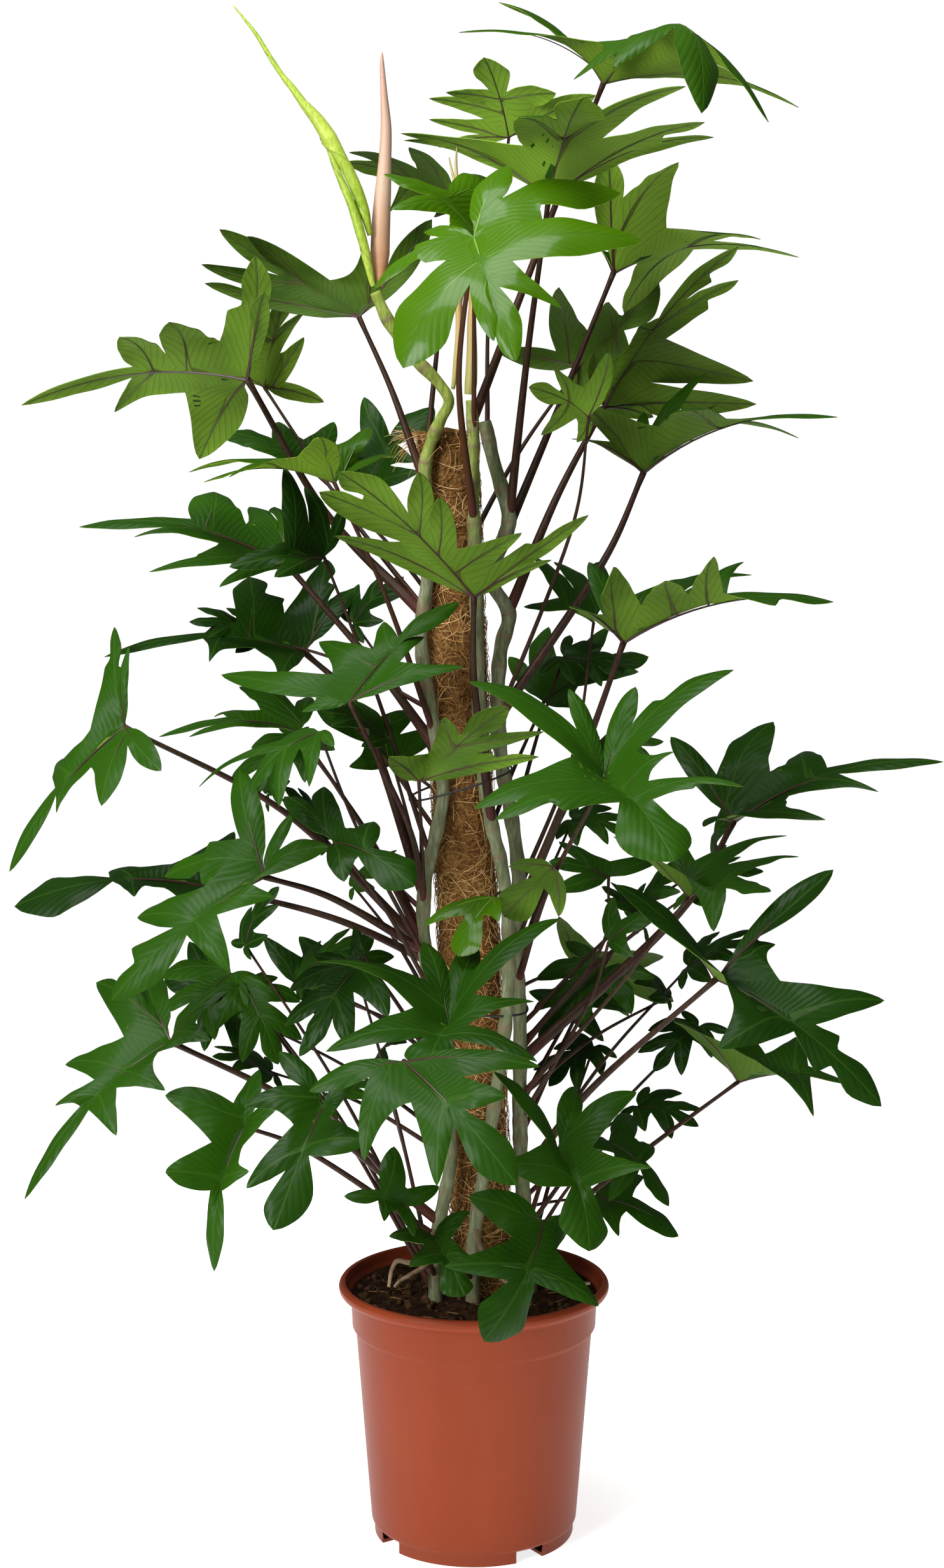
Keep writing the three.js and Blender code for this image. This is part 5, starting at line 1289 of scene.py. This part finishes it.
def add_blade(mould, leaf, youth, draw, shade=None):
    """A blade with its upper and under face, its rim and the raised ribs of its underside."""
    sheet, shape, lobes = blade_sheet(leaf, draw)
    # Lower leaves get painted shade on their undersides. A value listed for a leaf is its own painted light
    # or shade beneath, in place of the drawn one.
    underside_light = 1 if leaf["knee"][2] > BLADE["painted_shade_below"] else BLADE["painted_shade_lightness"]
    paint = (draw.random(), youth, draw.random() * underside_light if shade is None else shade)
    half = [normal * BLADE["thickness"] / 2 for normal in point_normals(sheet.points, sheet.faces)]
    points = [point + out for point, out in zip(sheet.points, half)]
    points += [point - out for point, out in zip(sheet.points, half)]
    under = [[i + len(half) for i in face[::-1]] for face in sheet.faces]
    rim, rim_marks = blade_rim(sheet)
    mould.add(points, [*sheet.faces, *under, *rim],
              [TOP] * len(sheet.faces) + [UNDER] * len(under + rim),
              [*sheet.marks, *(mark[::-1] for mark in sheet.marks), *rim_marks], paint)
    add_ribs(mould, leaf, shape, lobes, youth)


def add_ribs(mould, leaf, shape, lobes, youth):
    """The midrib and the two hind ribs, and a thinner one along each other lobe."""
    thick = max(RIB["share"] * shape["length"], RIB["least"])
    ways = [((shape["knee"], *rib_of(leaf, shape, rib)), thick, 0) for rib in ("midrib", "left", "right")]
    ways += [(lobe["way"][:3], thick * RIB["side"], lobe["stop"]) for lobe in lobes
             if lobe["way"][0] != shape["knee"]]
    for (start, end, lift), radius, far in ways:
        line, radii, colours = [], [], []
        for i in range(RIB["steps"] + 1):
            share = i / RIB["steps"] * RIB["stop"]
            point, ahead = slide(start, end, lift, share)
            size = mix(radius, RIB["end"], share ** RIB["taper"])
            below = BLADE["thickness"] / 2 + size * RIB["sunk"]
            line.append(point - square_to(shape["up"], ahead) * below)
            radii.append(size)
            colours.append((min(far + share * RIB["greening"], 1), youth, 0))
        tube(mould, line, radii, RIB["sides"], RIBS, colours)


# Vines, stalks and roots.

def vine_line(name):
    """Points up a vine, a short step apart."""
    places = [seen(place) for place in VINES[name]["path"]]
    length = sum((b - a).length for a, b in zip(places, places[1:]))
    return curve(places, round(length / VINE["step"]))


def vine_point(line, height):
    """The place at a height on the points of a vine."""
    i = max(next(i for i, point in enumerate(line) if point.z >= height), 1)
    below, above = line[i - 1], line[i]
    return below.lerp(above, (height - below.z) / (above.z - below.z))


def add_stem(mould, name, line, draw):
    """A stem with a swollen ring at each of its leaves, and rings where it lost others."""
    vine, taper = VINES[name], VINES[name]["taper"]
    rings = [leaf["node"] for leaf in LEAVES[name]]
    height = VINE["rings_from"]
    while height < line[-1].z:
        rings.append(height)
        height += VINE["ring_gap"] * draw.uniform(*VINE["gap_spread"])
    radii, colours = [], []
    for point in line:
        off = min(abs(point.z - ring) for ring in rings)
        past = point.z - taper["from"]
        slim = smooth(-VINE["taper_reach"], VINE["taper_reach"], past)
        swell = VINE["node_swell"] * bell(off, VINE["node_length"])
        radii.append(mix(vine["radius"], taper["radius"], slim) - VINE["waist"] + swell)
        fresh = vine["fresh"] * smooth(-VINE["fresh_below"], VINE["fresh_above"], past)
        colours.append((bell(off, VINE["scar_length"]), fresh, 0))
    tube(mould, line, radii, VINE["sides"], paint=colours)


def add_stalk(mould, line, leaf, youth):
    """A stalk that swells where it leaves the vine and thickens into a knuckle at the knee."""
    shape = leaf_frame(leaf)
    knee = shape["knee"]
    start = vine_point(line, leaf["node"])
    thick = max(STALK["share"] * shape["length"], STALK["least"])
    if "via" in leaf:
        via = seen(leaf["via"])
    else:
        via = start.lerp(knee, 0.5) + Vector((0, 0, STALK["rise"] * (knee - start).length))
    collar = start + (via - start).normalized() * STALK["collar"]
    sizes = [STALK["swell"], STALK["swell"], STALK["neck"], STALK["end"]]
    steps = STALK["steps"]
    points = curve([start, collar, via, knee], steps)
    radii, colours = [], []
    for i, point in enumerate(points):
        knuckle = 1 + (STALK["knuckle"] - 1) * bell((point - knee).length, STALK["knuckle_length"])
        radii.append(thick * along_list(sizes, i / steps) * knuckle)
        green = noise.noise(point / STALK["green_length"]) * STALK["green_swing"] + STALK["green"]
        base = smooth(STALK["base"], 0, (point - start).length)
        colours.append((green, youth * STALK["youth"], base))
    tube(mould, points, radii, STALK["sides"], paint=colours)


def add_root(mould, places):
    """A root that wriggles a little on its way to the soil."""
    steps = ROOT["steps"]
    points, radii = [], []
    for i, point in enumerate(curve([seen(place) for place in places], steps)):
        points.append(point + noise.noise_vector(point / ROOT["wriggle_length"]) * ROOT["wriggle"])
        lump = 1 + ROOT["lump"] * noise.noise(point / ROOT["lump_length"])
        radii.append(along_list(ROOT["radii"], i / steps) * lump)
    tube(mould, points, radii, ROOT["sides"])


def add_vine(name, first, finishes):
    """A stem with its stalks, roots and leaves. The back vine's leaves have no solids of their own."""
    draw = random.Random(name)
    line = vine_line(name)
    behind = name == "back"
    stem, stalks, roots, blades = Mould(), Mould(), Mould(), Mould()
    add_stem(stem, name, line, draw)
    for root in VINES[name]["roots"]:
        add_root(roots, root)
    for number, leaf in enumerate(LEAVES[name], first):
        youth = YOUTHS.get(number, 0)
        add_stalk(stalks, line, leaf, youth)
        mould = blades if behind else Mould()
        add_blade(mould, leaf, youth, draw, PAINTED_UNDERSIDE_LIGHT.get(number))
        if not behind:
            mould.piece(f"blade_{number:02d}", finishes["leaf"], [f"leaf_{number:02d}"], "leaf_blade",
                        BLADE["sharp"])
    node, slot = [f"vine_{name}"], "leafy_stem" if behind else "vine_stem"
    stem.piece(f"stem_{name}", finishes["vine"], node, slot)
    stalks.piece(f"stalks_{name}", finishes["stalk"], node, slot)
    if roots.points:
        roots.piece(f"roots_{name}", finishes["root"], node, slot)
    if behind:
        blades.piece(f"blades_{name}", finishes["leaf"], node, slot, BLADE["sharp"])


def add_plant(finishes):
    """All vines. Their leaves are numbered on from vine to vine, as the solids are."""
    first = 1
    for name, leaves in LEAVES.items():
        add_vine(name, first, finishes)
        first += len(leaves)


def small_leaf(node, knee, tip, draw):
    """A small leaf whose lobes follow the rule in SMALL."""
    foot = Vector(knee)
    ahead = Vector(tip) - foot
    aside = SMALL["face"].cross(ahead)
    leaf = {"node": node, "knee": knee, "tip": [*tip, SMALL["tip_width"]]}
    for side, hand in (("left", 1), ("right", -1)):
        leaf[side] = []
        for on, off in SMALL["pairs"]:
            place = foot + ahead * (on + draw.uniform(-SMALL["stray"], SMALL["stray"]))
            place += aside * hand * off * draw.uniform(*SMALL["reach"])
            leaf[side].append([*place, SMALL["width"]])
    return leaf


def add_small_leaves(finishes):
    """Leaves among the large ones that are too small or too far behind for solids of their own."""
    for name, leaves in SMALL_LEAVES.items():
        draw = random.Random(f"small {name}")
        line = vine_line(name)
        stalks, blades = Mould(), Mould()
        for node, knee, tip in leaves:
            leaf = small_leaf(node, knee, tip, draw)
            add_stalk(stalks, line, leaf, 0)
            add_blade(blades, leaf, 0, draw)
        node = [f"vine_{name}"]
        stalks.piece(f"small_stalks_{name}", finishes["stalk"], node, "vine_stem")
        blades.piece(f"small_leaves_{name}", finishes["leaf"], node, "vine_stem", BLADE["sharp"])


def wrapped(angle, run):
    """How much wider a rolled leaf is at an angle and a distance along it."""
    turn = (angle / math.tau + run / ROLL["pitch"]) % 1
    swell = math.sin(run / ROLL["swell_length"] + ROLL["swell_turns"] * angle)
    return 1 + ROLL["ridge"] * (turn - 0.5) + ROLL["swell"] * swell


def add_shoots(finishes):
    for name, shoot in SHOOTS.items():
        mould = Mould()
        ripple = wrapped if shoot["slot"] == "rolled_leaf" else None
        for strand in shoot["strands"]:
            steps = SHOOT["steps"] * len(strand)
            points = curve([seen(place) for place in strand], steps)
            radii = [place[3] for place in strand]
            tube(mould, points, [along_list(radii, i / steps) for i in range(steps + 1)], SHOOT["sides"],
                 ripple=ripple)
        mould.piece(f"{name}_fine", finishes[name], [name], shoot["slot"])


# The pole and its ties.

def pole_axis(height):
    foot, top = POLE["foot"], POLE["top"]
    return foot.lerp(top, (height - foot.z) / (top.z - foot.z))


def sleeve_point(height, angle, out):
    """A place on the sleeve of fibre, with its own lumps."""
    turn = Vector((math.cos(angle), math.sin(angle), 0))
    lump = noise.noise(turn * POLE["lump_turn"] + Vector((0, 0, height / POLE["lump_length"])))
    return pole_axis(height) + turn * (POLE["sleeve"] + POLE["lump"] * lump + out)


def add_coir(finishes):
    """The sleeve, shaggy all over, and its loose fibres."""
    mould = Mould()
    sides, rings = POLE["sides"], POLE["rings"]
    top = POLE["top"].z - POLE["dome"]
    points = []
    for i in range(rings + 1):
        height = mix(POLE["sleeve_foot"], top, i / rings)
        for k in range(sides):
            angle = math.tau * k / sides
            shag = rough_noise(sleeve_point(height, angle, 0), POLE["shag_size"], 3)
            points.append(sleeve_point(height, angle, POLE["shag"] * shag - POLE["sunk"]))
    points.append(pole_axis(POLE["sleeve_foot"]))
    points.append(pole_axis(POLE["top"].z))
    faces = []
    for k in range(sides):
        turn = (k + 1) % sides
        for i in range(rings):
            low, high = i * sides, (i + 1) * sides
            faces.append([low + k, low + turn, high + turn, high + k])
        faces.append([rings * sides + k, rings * sides + turn, len(points) - 1])
        faces.append([turn, k, len(points) - 2])
    mould.add(points, faces)
    mould.piece("coir_sleeve", finishes["coir"], ["pole_coir"], "coir_fibre")
    add_fibres(finishes, top)


def add_fibres(finishes, top):
    """Loose fibres that lie on the sleeve every way, and tufts at its top."""
    draw = random.Random("fibres")
    mould = Mould()
    for _ in range(FIBRE["count"]):
        add_fibre(mould, draw, top)
    for _ in range(TUFT["count"]):
        add_tuft(mould, draw, top)
    mould.piece("coir_fibres", finishes["fibre"], ["pole_coir"], "coir_fibre")


def add_fibre(mould, draw, top):
    """A fibre that winds over the sleeve and springs off it between its ends."""
    foot, steps = POLE["sleeve_foot"], FIBRE["steps"]
    height, angle = draw.uniform(foot + FIBRE["start_above"], top), draw.uniform(0, math.tau)
    heading, bend = draw.uniform(0, math.tau), draw.gauss(0, FIBRE["bend"])
    length, shade = draw.uniform(*FIBRE["length"]), draw.random()
    out, spring = draw.uniform(*FIBRE["lift"]), draw.uniform(*FIBRE["spring"])
    line = []
    for i in range(steps):
        arch = spring * math.sin(math.pi * (i / (steps - 1)))
        line.append(sleeve_point(min(height, POLE["top"].z - FIBRE["inside_ends"]), angle, out + arch))
        heading += bend
        height = max(height + math.sin(heading) * length / steps, foot + FIBRE["inside_ends"])
        angle += math.cos(heading) * length / steps / POLE["sleeve"]
    radius = draw.uniform(*FIBRE["radius"])
    tube(mould, line, [radius] * steps, FIBRE["sides"], paint=(shade, 0, 0))


def add_tuft(mould, draw, top):
    """A loose fibre that springs from the ragged top, most of them over the left edge."""
    angle = draw.gauss(math.pi, TUFT["spread"])
    length, lean = draw.uniform(*TUFT["length"]), draw.uniform(*TUFT["lean"])
    curl = draw.gauss(0, TUFT["curl"])
    start = sleeve_point(top - draw.uniform(0, TUFT["below_top"]), angle, -TUFT["sunk"])
    line, radii = [], []
    for i in range(TUFT["steps"]):
        share = i / (TUFT["steps"] - 1)
        turn, out = angle + curl * share, TUFT["out"] * share
        rise = lean * share - TUFT["droop"] * share ** 2
        line.append(start + Vector((math.cos(turn) * out, math.sin(turn) * out, rise)) * length)
        radii.append(mix(*TUFT["radii"], share))
    tube(mould, line, radii, FIBRE["sides"], paint=(draw.uniform(*TUFT["shade"]), 0, 0))


def squared(value):
    """A cosine or sine that makes a rounded square of a circle."""
    return math.copysign(abs(value) ** WIRE["squareness"], value)


def add_ties(finishes):
    """Each tie is a loop of wire round what it holds, as wide and as deep as its own solid."""
    for name, tie in TIES.items():
        low, high = (Vector(corner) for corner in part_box(name))
        centre, half = (low + high) / 2 / MM, (high - low) / 2 / MM
        loop = []
        for k in range(WIRE["steps"]):
            angle = math.tau * k / WIRE["steps"]
            x = centre.x + squared(math.cos(angle)) * (half.x - WIRE["inset"])
            y = centre.y + squared(math.sin(angle)) * (half.y - WIRE["inset"])
            loop.append(Vector((x, y, tie["height"] + tie["slope"] * x)))
        mould = Mould()
        tube(mould, loop, [WIRE["radius"]] * len(loop), WIRE["sides"], ring=True)
        mould.piece(f"{name}_wire", finishes["wire"], [name], "tie_wire")


# The pot and its soil.

def lathe(profile, sides):
    """A closed body turned round the upright axis, from a profile that starts and ends on it."""
    mould = Mould()
    points = [Vector((0, 0, profile[0][1]))]
    for radius, height in profile[1:-1]:
        for k in range(sides):
            angle = math.tau * k / sides
            points.append(Vector((radius * math.cos(angle), radius * math.sin(angle), height)))
    points.append(Vector((0, 0, profile[-1][1])))
    faces = []
    rings = len(profile) - 2
    for k in range(sides):
        turn = (k + 1) % sides
        faces.append([0, 1 + turn, 1 + k])
        for i in range(rings - 1):
            low, high = 1 + i * sides, 1 + (i + 1) * sides
            faces.append([low + k, low + turn, high + turn, high + k])
        last = 1 + (rings - 1) * sides
        faces.append([last + k, last + turn, len(points) - 1])
    mould.add(points, faces)
    return mould


def rounded(profile, radius, steps):
    """A profile with its corners turned into small arcs, which take less than half of each side."""
    path = [Vector(point) for point in profile]
    out = [path[0]]
    for before, corner, after in zip(path, path[1:], path[2:]):
        back, ahead = before - corner, after - corner
        size = min(radius, back.length * 0.45, ahead.length * 0.45)
        start, end = corner + back.normalized() * size, corner + ahead.normalized() * size
        for i in range(steps + 1):
            share = i / steps
            out.append(start.lerp(corner, share).lerp(corner.lerp(end, share), share))
    return [tuple(point) for point in [*out, path[-1]]]


def add_pot(finishes):
    """The pot, turned in one piece, with drainage channels cut across its foot."""
    outside, inside = POT["outside"], POT["inside"]
    profile = rounded([[0, 0], *outside, *inside, [0, inside[-1][1]]], POT["round"], POT["arc_steps"])
    pot = lathe(profile, POT["sides"]).piece("pot_shell", finishes["pot"], ["pot"], "pot_plastic")
    knife = channel_knife()
    cut = pot.modifiers.new("channels", "BOOLEAN")
    cut.operation = "DIFFERENCE"
    cut.object = knife
    cut.solver = "EXACT"
    made = bpy.data.meshes.new_from_object(pot.evaluated_get(bpy.context.evaluated_depsgraph_get()))
    pot.modifiers.clear()
    pot.data = made
    made.set_sharp_from_angle(angle=math.radians(POT["sharp"]))
    bpy.data.objects.remove(knife)


def channel_knife():
    """A block for each channel, which reaches out of the pot's underside."""
    channel = POT["channel"]
    top, low = Vector((0, 0, channel["height"])), Vector((0, 0, -channel["below"]))
    mould = Mould()
    for i in range(channel["count"]):
        angle = math.radians(channel["turn"] - 90) + math.tau * i / channel["count"]
        ahead = Vector((math.cos(angle), math.sin(angle), 0))
        side = Vector((-ahead.y, ahead.x, 0)) * channel["width"] / 2
        near, far = ahead * channel["start"], ahead * channel["reach"]
        ring = [near - side, far - side, far + side, near + side]
        mould.add([p + low for p in ring] + [p + top for p in ring],
                  [[3, 2, 1, 0], [4, 5, 6, 7], [0, 1, 5, 4], [1, 2, 6, 5], [2, 3, 7, 6], [3, 0, 4, 7]])
    return mould.shape("knife")


def soil_height(x, y):
    """The height of the soil's top, which is highest in the middle and level at the pot's wall."""
    off = math.hypot(x, y) / SOIL["edge"]
    crown = SOIL["crown"] * (1 - smooth(SOIL["crown_from"], 1, off))
    swell = rough_noise(Vector((x, y, 0)), SOIL["swell_size"], 5) * SOIL["swell"]
    crumb = rough_noise(Vector((x, y, SOIL["crumb_layer"])), SOIL["crumb_size"], 3, 0.8) * SOIL["crumb"]
    return SOIL["height"] + crown + (swell + crumb) * smooth(1, SOIL["level_from"], off)


def add_soil(finishes):
    """The soil fills the pot from its floor, a little clear of the wall, and has an uneven top."""
    top, edge, rings = SOIL["height"], SOIL["edge"], SOIL["rings"]
    wall = [(radius - SOIL["slack"], max(height, SOIL["floor"])) for radius, height in POT["inside"]
            if height < top]
    surface = [(edge * i / rings, top) for i in range(rings + 1)]
    mould = lathe([(0, SOIL["floor"]), *wall[::-1], *surface[::-1]], SOIL["sides"])
    for point in mould.points:
        if point.z == top:
            point.z = soil_height(point.x, point.y)
    mould.piece("soil_body", finishes["soil"], ["soil"], "potting_soil")
    add_bits(finishes)


def add_bits(finishes):
    """Crumbs of soil and slivers of bark on the surface."""
    draw = random.Random("soil")
    mould = Mould()
    steps = BITS["steps"]
    for n in range(BITS["count"]):
        kind = BITS["crumb" if n % BITS["sliver_every"] else "sliver"]
        radius, angle = SOIL["edge"] * BITS["spread"] * math.sqrt(draw.random()), draw.uniform(0, math.tau)
        x, y = radius * math.cos(angle), radius * math.sin(angle)
        size = draw.uniform(*kind["size"])
        stretch = draw.uniform(*kind["stretch"]) if "stretch" in kind else 1
        turn = draw.uniform(0, math.tau)
        ahead = Vector((math.cos(turn), math.sin(turn), draw.uniform(-BITS["tilt"], BITS["tilt"])))
        centre = Vector((x, y, soil_height(x, y) + size * BITS["lift"]))
        line, radii = [], []
        for i in range(steps):
            share = i / (steps - 1)
            line.append(centre + ahead * size * stretch * (share - 0.5) * 2)
            bulge = math.sqrt(max(1 - (2 * share - 1) ** 2, BITS["blunt"]))
            radii.append(size * bulge * draw.uniform(*BITS["uneven"]))
        tube(mould, line, radii, BITS["sides"], paint=(draw.uniform(*kind["shade"]), 0, 0))
    mould.piece("soil_crumbs", finishes["bits"], ["soil"], "potting_soil")


# The studio.

def add_light(name, place, size, power):
    light = bpy.data.lights.new(name, "AREA")
    light.shape = "RECTANGLE"
    light.size, light.size_y = size
    light.energy = power
    lamp = bpy.data.objects.new(name, light)
    lamp.location = place
    lamp.rotation_euler = (Vector(LIGHTS_AIM) - Vector(place)).to_track_quat("-Z", "Y").to_euler()
    bpy.context.scene.collection.objects.link(lamp)


def add_white_ground():
    """A world that the eye sees as white and that lights the plant only a little."""
    world = bpy.data.worlds.new("studio")
    bpy.context.scene.world = world
    world.use_nodes = True
    nodes, links = world.node_tree.nodes, world.node_tree.links
    seen_by_eye = nodes.new("ShaderNodeLightPath").outputs["Is Camera Ray"]
    power = nodes.new("ShaderNodeMapRange")
    power.inputs["To Min"].default_value = WORLD["light"]
    power.inputs["To Max"].default_value = WORLD["white"]
    links.new(seen_by_eye, power.inputs["Value"])
    links.new(power.outputs[0], nodes["Background"].inputs["Strength"])
    nodes["Background"].inputs["Color"].default_value = (1, 1, 1, 1)


def add_floor():
    angles = [math.tau * k / FLOOR["sides"] for k in range(FLOOR["sides"])]
    rim = [Vector((math.cos(angle), math.sin(angle), 0)) * FLOOR["radius"] for angle in angles]
    mesh = bpy.data.meshes.new("floor")
    mesh.from_pydata(rim, [], [list(range(len(rim)))])
    ground = bpy.data.objects.new("floor", mesh)
    bpy.context.scene.collection.objects.link(ground)
    mesh.materials.append(pale_floor())


def add_studio():
    """Soft boxes, most of the light from the left, on a pale floor before a white ground."""
    for name, place, size, power in LIGHTS:
        add_light(name, place, size, power)
    add_white_ground()
    add_floor()
    bpy.context.scene.view_settings.view_transform = "Standard"


def make_finishes():
    """The materials of each sort of piece, as lists."""
    return {
        "leaf": [leaf_top(), leaf_under(), leaf_rib()],
        "stalk": [stalk_skin()], "vine": [vine_bark()], "root": [root_bark()],
        "coir": [coir_mat()], "fibre": [coir_thread()], "soil": [dark_soil()], "bits": [bark_bits()],
        "pot": [pot_plastic()], "wire": [black_wire()], "wood": [stake_wood()],
        "shoot_left": [rolled_leaf()], "sheath_left": [sheath_skin(SHOOTS["sheath_left"])],
        "shoot_centre": [sheath_skin(SHOOTS["shoot_centre"])],
    }


add_camera()
finishes = make_finishes()
add_plant(finishes)
add_small_leaves(finishes)
add_shoots(finishes)
add_coir(finishes)
add_ties(finishes)
add_pot(finishes)
add_soil(finishes)
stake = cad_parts["pole_stake"].data
stake.materials.clear()
stake.materials.append(finishes["wood"][0])
add_studio()
